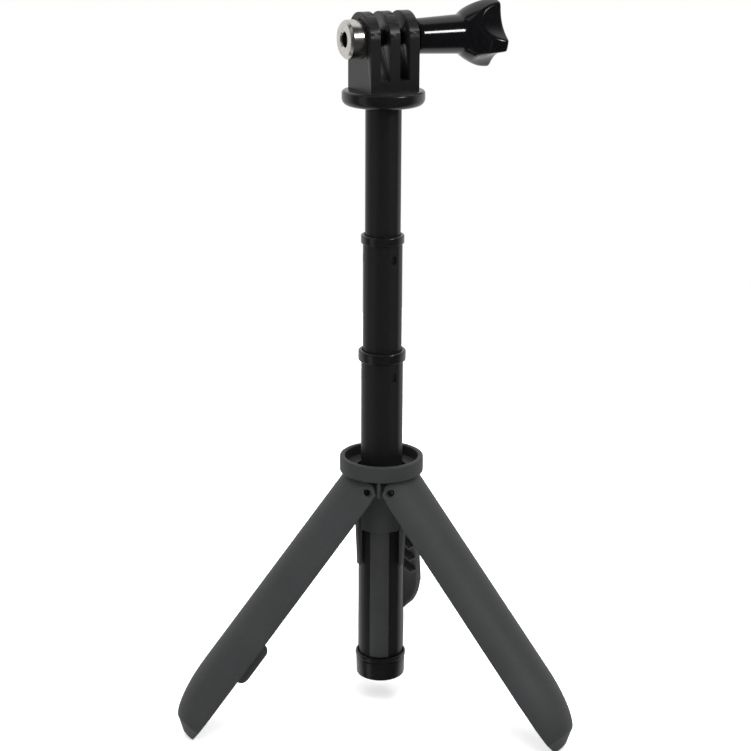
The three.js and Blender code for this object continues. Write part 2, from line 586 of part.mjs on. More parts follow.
const lowerTubeTop = lowerCollarTop - COLLAR_LIP - SEAT_GAP;
const middleTubeTop = middleCollarTop - COLLAR_LIP - SEAT_GAP;
const upperTubeTop = discBottom + SOCKET_DEPTH - SEAT_GAP;
add('lower_tube', windowedTube(TUBE_RADII.lower, lowerFoot + GLIDE_HEIGHT + SEAT_GAP, lowerTubeTop,
  lowerCollarTop - COLLAR_HEIGHTS.lower), TUBE);
add('middle_tube', windowedTube(TUBE_RADII.middle, middleFoot + GLIDE_HEIGHT + SEAT_GAP, middleTubeTop,
  middleCollarTop - COLLAR_HEIGHTS.middle), TUBE);
add('upper_tube', tube(TUBE_RADII.upper, upperFoot + GLIDE_HEIGHT + SEAT_GAP, upperTubeTop), TUBE);
add('lower_collar', collar('lower', lowerCollarTop), SATIN);
add('middle_collar', collar('middle', middleCollarTop), SATIN);
add('lower_glide', glide(TUBE_RADII.lower, columnBore - FLAT_DEPTH, lowerFoot), NYLON);
add('middle_glide', glide(TUBE_RADII.middle, TUBE_RADII.lower - TUBE_WALL - FLAT_DEPTH, middleFoot), NYLON);
add('upper_glide', glide(TUBE_RADII.upper, TUBE_RADII.middle - TUBE_WALL - FLAT_DEPTH, upperFoot), NYLON);

add('mount_disc', mountDisc(), SATIN);
add('mount_fingers', mountFingers(), SATIN);
add('tube_plug', tubePlug(), NYLON);
add('fixing_screw', fixingScrew(), DARK_STEEL);
add('clamp_nut', clampNut(), STEEL);
add('thrust_washer', thrustWasher(), SATIN);
add('clamp_knob', clampKnob(), GLOSS);
add('clamp_bolt', clampBolt(), DARK_STEEL);

export default product;
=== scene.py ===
"""Looks of a mini tripod pole for an action camera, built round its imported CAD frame.

Three shell legs fold out from a hub, three tubes telescope out of a column, and a three-finger
mount with a thumb screw clamps the camera. Shapes are worked in millimetres and turned into
metres when they become pieces.
"""
import json
import logging
import math
from dataclasses import dataclass, field
from enum import Enum
from typing import Any, Callable, Iterable, Optional, Sequence, Union

import bmesh
import bpy
from mathutils import Matrix, Vector


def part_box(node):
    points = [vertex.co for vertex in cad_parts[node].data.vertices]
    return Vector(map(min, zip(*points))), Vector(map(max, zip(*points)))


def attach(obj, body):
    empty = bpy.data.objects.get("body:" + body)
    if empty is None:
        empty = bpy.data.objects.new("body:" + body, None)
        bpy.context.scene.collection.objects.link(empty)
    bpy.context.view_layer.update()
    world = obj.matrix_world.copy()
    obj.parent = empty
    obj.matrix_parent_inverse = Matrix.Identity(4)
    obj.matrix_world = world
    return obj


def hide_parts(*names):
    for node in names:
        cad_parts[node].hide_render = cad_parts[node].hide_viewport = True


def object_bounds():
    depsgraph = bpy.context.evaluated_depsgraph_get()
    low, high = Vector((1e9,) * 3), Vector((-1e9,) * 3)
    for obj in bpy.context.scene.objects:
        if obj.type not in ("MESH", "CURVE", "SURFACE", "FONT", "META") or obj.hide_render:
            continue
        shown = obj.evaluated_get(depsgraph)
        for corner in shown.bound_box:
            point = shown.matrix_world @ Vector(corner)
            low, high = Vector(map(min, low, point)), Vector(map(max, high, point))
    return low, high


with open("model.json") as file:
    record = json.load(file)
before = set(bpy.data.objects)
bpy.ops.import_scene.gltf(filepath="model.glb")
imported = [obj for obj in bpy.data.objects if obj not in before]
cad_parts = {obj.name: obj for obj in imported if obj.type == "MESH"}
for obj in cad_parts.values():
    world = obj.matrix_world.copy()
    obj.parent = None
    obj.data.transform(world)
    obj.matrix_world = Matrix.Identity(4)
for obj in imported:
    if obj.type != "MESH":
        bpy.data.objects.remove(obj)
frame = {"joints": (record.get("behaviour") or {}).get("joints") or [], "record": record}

cad_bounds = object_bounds()
log = logging.getLogger("tripod_pole")

MM = 0.001
FULL_TURN = 2 * math.pi
ROUND = 128
FINE_ROUND = 192
PIN_ROUND = 48
SEAT_GAP = 0.3
FIT_GAP = 0.12
SPAN = 60.0  # cutting tools reach this far, well past the parts

Flat = tuple[float, float]
Corner = tuple[float, float, float]
Point = tuple[float, float, float]
Colour = tuple[float, float, float]
Operand = Union["Signal", float]


class Mix(Enum):
    """The ways in which two closed shapes are combined."""

    JOIN = "UNION"
    CUT = "DIFFERENCE"
    KEEP = "INTERSECT"


class Side(Enum):
    """The bodies that pieces ride on."""

    BASE = "base"
    LOWER = "lower_stage"
    MIDDLE = "middle_stage"
    UPPER = "upper_stage"
    CARRIAGE = "screw_carriage"
    SCREW = "clamp_screw"


class Slot(Enum):
    """The material slots of the record."""

    GRIP = "grip_plastic"
    SATIN = "satin_plastic"
    GLOSS = "gloss_plastic"
    LACQUER = "tube_lacquer"
    NYLON = "nylon"
    NICKEL = "nickel_steel"
    DARK_STEEL = "dark_steel"


# Node trees written as expressions


class Signal:
    """An output socket that takes part in Python arithmetic."""

    def __init__(self, tree: "Tree", socket: bpy.types.NodeSocket) -> None:
        """Keep the socket and the tree that it belongs to."""
        self.tree = tree
        self.socket = socket

    def math(self, operation: str, *others: Operand) -> "Signal":
        """Apply a Math node to this value.

        Args:
            operation: The node's operation.
            others: The operands that come after this value.

        Returns:
            The node's result.
        """
        return self.tree.math(operation, self, *others)

    def __add__(self, other: Operand) -> "Signal":
        """This value plus another."""
        return self.math("ADD", other)

    __radd__ = __add__

    def __sub__(self, other: Operand) -> "Signal":
        """This value less another."""
        return self.math("SUBTRACT", other)

    def __rsub__(self, other: float) -> "Signal":
        """A number less this value."""
        return self.tree.math("SUBTRACT", other, self)

    def __mul__(self, other: Operand) -> "Signal":
        """This value times another."""
        return self.math("MULTIPLY", other)

    __rmul__ = __mul__

    def __truediv__(self, other: Operand) -> "Signal":
        """This value over another."""
        return self.math("DIVIDE", other)


class Placed:
    """A node in a tree, whose outputs are asked for by name."""

    def __init__(self, tree: "Tree", node: bpy.types.Node) -> None:
        """Keep the node and its tree."""
        self.tree = tree
        self.node = node

    def __getitem__(self, key: Union[str, int]) -> Signal:
        """The output with this identifier, name or position."""
        return Signal(self.tree, find_socket(self.node.outputs, key))


def find_socket(sockets: Any, key: Union[str, int]) -> bpy.types.NodeSocket:
    """Find a node's socket.

    Args:
        sockets: A node's inputs or outputs.
        key: The socket's position, identifier or name.

    Returns:
        The socket.
    """
    if isinstance(key, int):
        return sockets[key]
    for socket in sockets:
        if socket.identifier == key:
            return socket
    return next(socket for socket in sockets if socket.name == key and socket.enabled)


class Tree:
    """A node tree of any kind, written as calls."""

    def __init__(self, nodes: bpy.types.NodeTree) -> None:
        """Wrap a node tree."""
        self.nodes = nodes

    def node(
        self,
        kind: str,
        settings: Optional[dict[str, Any]] = None,
        sockets: Optional[dict[Union[str, int], Any]] = None,
    ) -> Placed:
        """Add a node.

        Args:
            kind: The node's type.
            settings: The node's own properties, which are set first.
            sockets: Values or links of its inputs.

        Returns:
            The node.
        """
        node = self.nodes.nodes.new(kind)
        for name, value in (settings or {}).items():
            if name == "stops":
                self.set_stops(node, value)
            else:
                setattr(node, name, value)
        for key, value in (sockets or {}).items():
            socket = find_socket(node.inputs, key)
            if isinstance(value, Signal):
                self.nodes.links.new(value.socket, socket)
            else:
                socket.default_value = value
        return Placed(self, node)

    @staticmethod
    def set_stops(node: bpy.types.Node, stops: Sequence[tuple[float, Colour]]) -> None:
        """Give a ramp its colours by position."""
        elements = node.color_ramp.elements
        while len(elements) < len(stops):
            elements.new(0.5)
        for element, (position, colour) in zip(elements, stops):
            element.position = position
            element.color = (*colour, 1.0)

    def math(self, operation: str, *operands: Operand) -> Signal:
        """Add a Math node on these operands and return its result."""
        return self.node("ShaderNodeMath", {"operation": operation}, dict(enumerate(operands)))[0]


# Closed shapes in millimetres

STRAIGHT = 1.55  # half of a corner's angle, in radians, from which it counts as straight
CORNER_SHARE = 0.48  # of each side next to a corner, the most that its rounding takes
MERGE = 1e-5


def softened(corners: Iterable[Corner], steps: int = 5) -> list[Flat]:
    """Round the corners of a closed outline.

    Args:
        corners: The outline's corners as x, y and the radius of the corner.
        steps: Segments in each round corner.

    Returns:
        The outline's points.
    """
    listed = list(corners)
    outline: list[Flat] = []
    for index, (x, y, radius) in enumerate(listed):
        here = Vector((x, y))
        before = Vector(listed[index - 1][:2]) - here
        after = Vector(listed[(index + 1) % len(listed)][:2]) - here
        half = before.angle(after) / 2 if radius > 0 else 0
        if radius <= 0 or half > STRAIGHT:
            outline.append((x, y))
            continue
        cut = min(radius / math.tan(half), CORNER_SHARE * before.length, CORNER_SHARE * after.length)
        fitted = cut * math.tan(half)
        first = here + before.normalized() * cut
        last = here + after.normalized() * cut
        centre = here + (before.normalized() + after.normalized()).normalized() * (fitted / math.sin(half))
        start, end = first - centre, last - centre
        span = start.angle(end)
        for step in range(steps + 1):
            share = step / steps
            arm = (start * math.sin((1 - share) * span) + end * math.sin(share * span)) / math.sin(span)
            outline.append((centre.x + arm.x, centre.y + arm.y))
    return outline


def arc(centre: Flat, radius: float, start: float, end: float, steps: int) -> list[Flat]:
    """Points on an arc, with its angles in degrees."""
    turns = [math.radians(start + (end - start) * i / steps) for i in range(steps + 1)]
    return [(centre[0] + radius * math.cos(a), centre[1] + radius * math.sin(a)) for a in turns]


def evaluated(holder: bpy.types.Object) -> bpy.types.Mesh:
    """A new plain mesh of an object, with its modifiers applied."""
    graph = bpy.context.evaluated_depsgraph_get()
    return bpy.data.meshes.new_from_object(holder.evaluated_get(graph), depsgraph=graph)


def with_modifiers(mesh: bpy.types.Mesh, modifiers: Sequence[tuple[str, dict[str, Any]]]) -> bpy.types.Mesh:
    """Run modifiers on a mesh.

    Args:
        mesh: The mesh they start from.
        modifiers: Each modifier's type and settings.

    Returns:
        A new mesh with the modifiers applied.
    """
    holder = bpy.data.objects.new("holder", mesh)
    bpy.context.scene.collection.objects.link(holder)
    for kind, settings in modifiers:
        modifier = holder.modifiers.new(kind.lower(), kind)
        for name, value in settings.items():
            setattr(modifier, name, value)
    made = evaluated(holder)
    bpy.data.objects.remove(holder)
    return made


class Blank:
    """A closed shape in millimetres, worked on before it becomes a piece."""

    def __init__(self, mesh: bpy.types.Mesh) -> None:
        """Wrap a mesh that nothing else uses."""
        self.mesh = mesh

    @classmethod
    def lofted(cls, rings: Sequence[Sequence[Point]], looped: bool = False, capped: bool = False) -> "Blank":
        """Join closed rings of points one after another.

        Args:
            rings: Rings with the same number of points.
            looped: Whether the last ring joins the first.
            capped: Whether the first and last rings are filled.

        Returns:
            The shape.
        """
        count = len(rings[0])
        points = [point for ring in rings for point in ring]
        faces: list[Sequence[int]] = []
        for row in range(len(rings) if looped else len(rings) - 1):
            low, high = row * count, ((row + 1) % len(rings)) * count
            for i in range(count):
                j = (i + 1) % count
                faces.append((low + i, low + j, high + j, high + i))
        if capped:
            faces.append(range(count - 1, -1, -1))
            faces.append(range(len(points) - count, len(points)))
        mesh = bpy.data.meshes.new("blank")
        mesh.from_pydata(points, [], faces)
        work = bmesh.new()
        work.from_mesh(mesh)
        bmesh.ops.remove_doubles(work, verts=work.verts, dist=MERGE)
        bmesh.ops.recalc_face_normals(work, faces=work.faces)
        work.to_mesh(mesh)
        work.free()
        return cls(mesh)

    @classmethod
    def turned(cls, outline: Sequence[Flat], segments: int = ROUND) -> "Blank":
        """Turn a closed outline of radius and height about the pole axis."""
        angles = [FULL_TURN * i / segments for i in range(segments)]
        rings = [[(r * math.cos(a), r * math.sin(a), z) for r, z in outline] for a in angles]
        return cls.lofted(rings, looped=True)

    @classmethod
    def raised(cls, outline: Sequence[Flat], low: float, high: float) -> "Blank":
        """Raise a closed outline of x and y from one height to another."""
        return cls.lofted([[(x, y, z) for x, y in outline] for z in (low, high)], capped=True)

    @classmethod
    def block(cls, low: Point, high: Point) -> "Blank":
        """A block between two corners."""
        outline = [(low[0], low[1]), (high[0], low[1]), (high[0], high[1]), (low[0], high[1])]
        return cls.raised(outline, low[2], high[2])

    @classmethod
    def rod(
        cls, radius: float, low: float, high: float, segments: int = PIN_ROUND, edge: float = 0
    ) -> "Blank":
        """A rod about the pole axis with its edges rounded."""
        corners = [(0, low, 0), (radius, low, edge), (radius, high, edge), (0, high, 0)]
        return cls.turned(softened(corners), segments)

    def moved(self, place: Matrix) -> "Blank":
        """A copy of this shape, turned and moved."""
        mesh = self.mesh.copy()
        mesh.transform(place)
        return Blank(mesh)

    def shifted(self, x: float = 0, y: float = 0, z: float = 0) -> "Blank":
        """A copy moved along the axes."""
        return self.moved(Matrix.Translation((x, y, z)))

    def along_x(self) -> "Blank":
        """A copy with its own Z axis laid along +X."""
        return self.moved(Matrix.Rotation(math.pi / 2, 4, "Y"))

    def along_y(self) -> "Blank":
        """A copy with its own Z axis laid along +Y."""
        return self.moved(Matrix.Rotation(-math.pi / 2, 4, "X"))

    def about_pole(self, degrees: float) -> "Blank":
        """A copy turned about the pole axis."""
        return self.moved(Matrix.Rotation(math.radians(degrees), 4, "Z"))

    def mixed(self, mix: Mix, *others: "Blank") -> "Blank":
        """Combine this shape with others, one after another.

        Args:
            mix: How each is combined.
            others: The shapes that are joined on, cut away or kept within.

        Returns:
            The combined shape.
        """
        holders = []
        for other in others:
            holder = bpy.data.objects.new("tool", other.mesh)
            bpy.context.scene.collection.objects.link(holder)
            holders.append(holder)
        settings = [("BOOLEAN", {"operation": mix.value, "object": h, "solver": "EXACT"}) for h in holders]
        made = with_modifiers(self.mesh, settings)
        for holder in holders:
            bpy.data.objects.remove(holder)
        return Blank(made)

    def bevelled(self, width: float, segments: int = 3, over: float = 40) -> "Blank":
        """Round the shape's edges.

        Args:
            width: Width of the rounding.
            segments: Segments across it.
            over: Only edges that turn by more degrees than this are rounded.

        Returns:
            The shape with round edges.
        """
        bevel = {"width": width, "segments": segments, "limit_method": "ANGLE",
                 "angle_limit": math.radians(over), "miter_outer": "MITER_ARC", "use_clamp_overlap": True}
        return Blank(with_modifiers(self.mesh, [("BEVEL", bevel)]))

    def fused(self, grain: float, passes: int) -> "Blank":
        """Merge overlapping closed shapes into one even skin and soften its edges.

        Args:
            grain: Size of the skin's faces.
            passes: How often the skin is smoothed.

        Returns:
            The skin.
        """
        remesh = {"mode": "VOXEL", "voxel_size": grain, "adaptivity": 0.0}
        smooth = {"factor": 0.5, "iterations": passes}
        return Blank(with_modifiers(self.mesh, [("REMESH", remesh), ("SMOOTH", smooth)]))

    def beside(self, *others: "Blank") -> "Blank":
        """This shape and others in one mesh, not merged."""
        work = bmesh.new()
        for shape in (self, *others):
            work.from_mesh(shape.mesh)
        mesh = bpy.data.meshes.new("blank")
        work.to_mesh(mesh)
        work.free()
        return Blank(mesh)

    def piece(
        self,
        name: str,
        finish: "Finish",
        body: str,
        stands_for: Sequence[str] = (),
        sharp: float = 35,
        flat_faces: bool = False,
    ) -> bpy.types.Object:
        """Make this shape a piece of the object.

        Args:
            name: The piece's name.
            finish: What it is finished in.
            body: The body that it rides on.
            stands_for: The CAD nodes that it replaces.
            sharp: Edges over this many degrees stay sharp.
            flat_faces: Whether large flat faces keep even shading.

        Returns:
            The piece.
        """
        mesh = self.mesh.copy()
        mesh.shade_smooth()
        mesh.set_sharp_from_angle(angle=math.radians(sharp))
        if flat_faces:
            mesh = with_modifiers(mesh, [("WEIGHTED_NORMAL", {"keep_sharp": True, "weight": 100})])
        mesh.transform(Matrix.Scale(MM, 4))
        mesh.materials.clear()
        mesh.materials.append(finish.material())
        piece = bpy.data.objects.new(name, mesh)
        mesh.name = name
        bpy.context.scene.collection.objects.link(piece)
        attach(piece, body)
        if stands_for:
            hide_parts(*stands_for)
        log.info("%s on %s: %d faces", name, body, len(mesh.polygons))
        return piece


@dataclass(frozen=True)
class Extent:
    """The lowest and highest corner of a CAD node, in millimetres."""

    low: Vector
    high: Vector

    @classmethod
    def of(cls, node: str) -> "Extent":
        """Measure a CAD node at rest."""
        low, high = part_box(node)
        return cls(low / MM, high / MM)

    @property
    def middle(self) -> Vector:
        """The centre of the node's box."""
        return (self.low + self.high) / 2


def measured(node: str) -> Any:
    """A dataclass field that holds a CAD node's extent."""
    return field(default_factory=lambda: Extent.of(node))


# Finishes


@dataclass(frozen=True)
class Finish:
    """A surface's colour and the way it takes light."""

    name: str
    slot: Slot
    colour: Colour
    roughness: float
    metallic: float = 0.0
    specular: float = 0.5

    def material(self) -> bpy.types.Material:
        """The finish's material, which is made the first time that it is asked for."""
        found = bpy.data.materials.get(self.name)
        if found:
            return found
        material = bpy.data.materials.new(self.name)
        material.use_nodes = True
        tree = Tree(material.node_tree)
        shader = next(n for n in material.node_tree.nodes if n.type == "BSDF_PRINCIPLED")
        fixed = {"Metallic": self.metallic, "Specular IOR Level": self.specular,
                 "Base Color": (*self.colour, 1.0), "Roughness": self.roughness}
        for key, value in fixed.items():
            shader.inputs[key].default_value = value
        coordinates = tree.node("ShaderNodeTexCoord")["Object"]
        for key, signal in self.surface(tree, coordinates).items():
            material.node_tree.links.new(signal.socket, shader.inputs[key])
        return material

    def surface(self, tree: Tree, place: Signal) -> dict[str, Signal]:
        """What changes over the surface.

        Args:
            tree: The material's node tree.
            place: The point on the piece, in metres.

        Returns:
            The values of the shader's inputs that vary.
        """
        raise NotImplementedError

    def noise(self, tree: Tree, place: Signal, size: float, detail: float = 2.0) -> Signal:
        """Noise from 0 to 1 whose features have a size in millimetres."""
        sockets = {"Vector": place, "Scale": 1 / (size * MM), "Detail": detail}
        return tree.node("ShaderNodeTexNoise", {}, sockets)["Fac"]

    def tinted(self, tree: Tree, amount: Signal, light: float, dark: float) -> Signal:
        """The finish's colour made lighter and darker by an amount from 0 to 1."""
        low = tuple(c * dark for c in self.colour)
        high = tuple(c * light for c in self.colour)
        return tree.node("ShaderNodeValToRGB", {"stops": [(0.3, low), (0.7, high)]}, {"Fac": amount})["Color"]

    def bump(self, tree: Tree, height: Signal, depth: float, strength: float = 1.0) -> Signal:
        """Raise the surface by a height from 0 to 1, with its depth in millimetres."""
        sockets = {"Height": height, "Distance": depth * MM, "Strength": strength}
        return tree.node("ShaderNodeBump", {}, sockets)["Normal"]


@dataclass(frozen=True)
class MouldedPlastic(Finish):
    """Plastic that takes its grain from an eroded mould, with soft mottling where hands rub it."""

    grain: float = 0.28
    grain_depth: float = 0.03
    mottle: float = 14.0
    mottle_spread: float = 0.12

    def surface(self, tree: Tree, place: Signal) -> dict[str, Signal]:
        """Grain in the normal, and mottling in the colour and roughness."""
        fine = self.noise(tree, place, self.grain, 3.0)
        pits = tree.node("ShaderNodeTexVoronoi", {}, {"Vector": place, "Scale": 1 / (self.grain * 2 * MM)})
        cloudy = self.noise(tree, place, self.mottle, 4.0)
        height = fine * 0.7 + pits["Distance"] * 0.6
        even = self.roughness - self.mottle_spread / 2 - 0.03
        roughness = cloudy * self.mottle_spread + fine * 0.06 + even
        return {
            "Base Color": self.tinted(tree, cloudy * 0.7 + fine * 0.3, 1.12, 0.88),
            "Roughness": roughness,
            "Normal": self.bump(tree, height, self.grain_depth),
        }


@dataclass(frozen=True)
class PolishedPlastic(Finish):
    """Plastic from a polished mould: slight waviness, fine dust and a few dull patches."""

    wave: float = 7.0
    wave_depth: float = 0.02

    def surface(self, tree: Tree, place: Signal) -> dict[str, Signal]:
        """Waviness in the normal, and dust in the roughness and colour."""
        wavy = self.noise(tree, place, self.wave, 1.0)
        dust = self.noise(tree, place, 0.5, 5.0)
        patches = self.noise(tree, place, 5.0, 3.0)
        return {
            "Base Color": self.tinted(tree, patches, 1.15, 0.85),
            "Roughness": patches * 0.06 + dust * 0.03 + (self.roughness - 0.045),
            "Normal": self.bump(tree, wavy, self.wave_depth, 0.6),
        }


@dataclass(frozen=True)
class TubeLacquer(Finish):
    """Gloss lacquer on drawn tube, with faint draw lines along it and rub marks from sliding."""

    line: float = 0.25
    stretch: float = 0.012

    def surface(self, tree: Tree, place: Signal) -> dict[str, Signal]:
        """Draw lines in the normal, and rub marks in the roughness."""
        drawn = {"Vector": place, "Scale": (1.0, 1.0, self.stretch)}
        scaled = tree.node("ShaderNodeMapping", {}, drawn)["Vector"]
        lines = self.noise(tree, scaled, self.line, 2.0)
        rubs = self.noise(tree, scaled, 1.6, 4.0)
        cloudy = self.noise(tree, place, 18.0, 2.0)
        return {
            "Base Color": self.tinted(tree, cloudy, 1.2, 0.8),
            "Roughness": rubs * 0.07 + cloudy * 0.05 + (self.roughness - 0.06),
            "Normal": self.bump(tree, lines, 0.004, 0.5),
        }


@dataclass(frozen=True)
class TurnedPlate(Finish):
    """Bright plate over a turned part, with fine rings round the clamp bolt's axis."""

    axis_height: float = 196.8
    pitch: float = 0.16

    def surface(self, tree: Tree, place: Signal) -> dict[str, Signal]:
        """Turning rings in the normal, and slight tarnish in the colour and roughness."""
        parts = tree.node("ShaderNodeSeparateXYZ", {}, {"Vector": place})
        y, z = parts["Y"], parts["Z"] - self.axis_height * MM
        radius = (y * y + z * z).math("SQRT")
        rings = ((radius + parts["X"]) * (FULL_TURN / (self.pitch * MM))).math("SINE")
        tarnish = self.noise(tree, place, 1.8, 4.0)
        return {
            "Base Color": self.tinted(tree, tarnish, 1.06, 0.86),
            "Roughness": tarnish * 0.12 + (self.roughness - 0.06),
            "Normal": self.bump(tree, rings * 0.5 + 0.5, 0.004, 0.5),
        }


GRIP = MouldedPlastic("grip_moulding", Slot.GRIP, (0.023, 0.024, 0.0245), 0.58, specular=0.4)
SPINE = MouldedPlastic("spine_moulding", Slot.GRIP, (0.026, 0.027, 0.028), 0.5, specular=0.4, mottle=9.0)
SATIN = MouldedPlastic(
    "mount_moulding", Slot.SATIN, (0.0075, 0.0075, 0.008), 0.36, specular=0.4, grain=0.2, grain_depth=0.012,
)
RING = PolishedPlastic("ring_moulding", Slot.SATIN, (0.0045, 0.0045, 0.005), 0.24, specular=0.5)
GLOSS = PolishedPlastic("knob_moulding", Slot.GLOSS, (0.0022, 0.0022, 0.0028), 0.11, specular=0.55)
LACQUER = TubeLacquer("tube_lacquer", Slot.LACQUER, (0.0009, 0.0012, 0.0013), 0.14, specular=0.5)
NYLON = MouldedPlastic("guide_nylon", Slot.NYLON, (0.022, 0.022, 0.023), 0.45, grain=0.4)
NICKEL = TurnedPlate("nickel_plate", Slot.NICKEL, (0.66, 0.64, 0.60), 0.2, metallic=1.0)
DARK_STEEL = TurnedPlate("blackened_steel", Slot.DARK_STEEL, (0.06, 0.06, 0.065), 0.34, metallic=1.0)


# Geometry Nodes


class Pattern:
    """A Geometry Nodes tree with named sizes, which makes a repeated or a ruled shape."""

    def __init__(self, name: str, sizes: dict[str, float], finish: Finish) -> None:
        """Start a tree.

        Args:
            name: The tree's name.
            sizes: Its inputs, whole numbers where the value is an int.
            finish: What the result is finished in.
        """
        self.group = bpy.data.node_groups.new(name, "GeometryNodeTree")
        self.sizes = sizes
        self.finish = finish
        interface = self.group.interface
        interface.new_socket("Shape", in_out="INPUT", socket_type="NodeSocketGeometry")
        self.identifiers = {}
        for size, value in sizes.items():
            kind = "NodeSocketInt" if isinstance(value, int) else "NodeSocketFloat"
            socket = interface.new_socket(size, in_out="INPUT", socket_type=kind)
            self.identifiers[size] = socket.identifier
        interface.new_socket("Shape", in_out="OUTPUT", socket_type="NodeSocketGeometry")
        self.tree = Tree(self.group)
        self.given = self.tree.node("NodeGroupInput")

    def end(self, shape: Signal) -> None:
        """Finish the tree with real geometry and its material."""
        real = self.tree.node("GeometryNodeRealizeInstances", {}, {"Geometry": shape})["Geometry"]
        dressed = self.tree.node("GeometryNodeSetMaterial", {}, {"Geometry": real})
        dressed.node.inputs["Material"].default_value = self.finish.material()
        self.tree.node("NodeGroupOutput", {}, {"Shape": dressed["Geometry"]})

    def run(self, shape: Optional[Blank] = None) -> Blank:
        """Run the tree.

        Args:
            shape: What the tree works on, if it takes a shape.

        Returns:
            The tree's result as a plain shape.
        """
        mesh = shape.mesh if shape else bpy.data.meshes.new("seed")
        holder = bpy.data.objects.new("pattern", mesh)
        modifier = holder.modifiers.new("pattern", "NODES")
        modifier.node_group = self.group
        for size, value in self.sizes.items():
            modifier[self.identifiers[size]] = value
        bpy.context.scene.collection.objects.link(holder)
        made = evaluated(holder)
        holder.modifiers.remove(modifier)
        bpy.data.objects.remove(holder)
        return Blank(made)


def row_of(shape: Blank, count: int, pitch: float, finish: Finish) -> Blank:
    """Copies of a shape, one below another.

    Args:
        shape: What is repeated.
        count: How many there are.
        pitch: The drop from one to the next.
        finish: What they are finished in.

    Returns:
        The copies in one mesh.
    """
    pattern = Pattern("row", {"Count": count, "Pitch": pitch}, finish)
    tree, given = pattern.tree, pattern.given
    step = tree.node("ShaderNodeCombineXYZ", {}, {"Z": given["Pitch"] * -1})["Vector"]
    line = tree.node("GeometryNodeMeshLine", {"mode": "OFFSET"}, {"Count": given["Count"], "Offset": step})
    sockets = {"Points": line["Mesh"], "Instance": given["Shape"]}
    copies = tree.node("GeometryNodeInstanceOnPoints", {}, sockets)
    pattern.end(copies["Instances"])
    return pattern.run(shape)


def thread_ridge(radius: float, length: float, pitch: float, finish: Finish) -> Blank:
    """Make the ridge of a screw thread, standing on the origin and rising along +Z.

    Args:
        radius: Radius of the core that it winds on.
        length: How far it rises.
        pitch: Its rise in one turn.
        finish: What it is finished in.

    Returns:
        The ridge.
    """
    sizes = {"Radius": radius, "Length": length, "Turns": length / pitch, "Ridge": pitch * 0.5}
    pattern = Pattern("thread", sizes, finish)
    tree, given = pattern.tree, pattern.given
    spiral = tree.node("GeometryNodeCurveSpiral", {}, {
        "Resolution": 32, "Rotations": given["Turns"], "Start Radius": given["Radius"],
        "End Radius": given["Radius"], "Height": given["Length"],
    })["Curve"]
    upright = tree.node("GeometryNodeSetCurveNormal", {"mode": "Z_UP"}, {"Curve": spiral})["Curve"]
    section = tree.node("GeometryNodeCurvePrimitiveCircle", {}, {"Resolution": 6, "Radius": given["Ridge"]})
    sockets = {"Curve": upright, "Profile Curve": section["Curve"], "Fill Caps": True}
    pattern.end(tree.node("GeometryNodeCurveToMesh", {}, sockets)["Mesh"])
    return pattern.run()


FLAT_ANGLES = (40.0, 160.0, 280.0)
FLAT_BLEND = 0.03
FACING = 0.05  # least cosine at which a flat still counts


def drawn_skin(radius: float, low: float, high: float, flat: float, finish: Finish) -> Blank:
    """Make the outside of a round tube with three flats along it, open at both ends.

    Args:
        radius: The tube's radius.
        low: Height of its lower end.
        high: Height of its upper end.
        flat: Depth of each flat.
        finish: What it is finished in.

    Returns:
        The skin, which has no thickness yet.
    """
    sizes = {"Radius": radius, "Low": low, "High": high, "Flat": flat, "Sides": FINE_ROUND}
    pattern = Pattern("drawn_tube", sizes, finish)
    tree, given = pattern.tree, pattern.given
    barrel = tree.node("GeometryNodeMeshCylinder", {"fill_type": "NONE"}, {
        "Vertices": given["Sides"], "Radius": 1.0, "Depth": 1.0,
    })["Mesh"]
    position = tree.node("GeometryNodeInputPosition")["Position"]
    place = tree.node("ShaderNodeSeparateXYZ", {}, {"Vector": position})
    angle = tree.math("ARCTAN2", place["Y"], place["X"])
    reach: Signal = given["Radius"] * 1.0
    for degrees in FLAT_ANGLES:
        away = (angle - math.radians(degrees)).math("COSINE").math("MAXIMUM", FACING)
        reach = reach.math("SMOOTH_MIN", (given["Radius"] - given["Flat"]) / away, FLAT_BLEND)
    rise = given["Low"] + (place["Z"] + 0.5) * (given["High"] - given["Low"])
    moved = tree.node("ShaderNodeCombineXYZ", {}, {
        "X": reach * angle.math("COSINE"), "Y": reach * angle.math("SINE"), "Z": rise,
    })["Vector"]
    pattern.end(tree.node("GeometryNodeSetPosition", {}, {"Geometry": barrel, "Position": moved})["Geometry"])
    return pattern.run()


def drawn_tube(radius: float, low: float, high: float, flat: float, wall: float, outwards: bool) -> Blank:
    """Make a lacquered tube with three flats along it.

    Args:
        radius: Radius of the side that is drawn.
        low: Height of its lower end.
        high: Height of its upper end.
        flat: Depth of each flat.
        wall: Thickness of its wall.
        outwards: Whether the wall lies outside the drawn side.

    Returns:
        The tube.
    """
    skin = drawn_skin(radius, low, high, flat, LACQUER)
    offset = 1.0 if outwards else -1.0
    solidify = {"thickness": wall, "offset": offset, "use_rim": True, "use_even_offset": True}
    return Blank(with_modifiers(skin.mesh, [("SOLIDIFY", solidify)]))


# Sub-assemblies


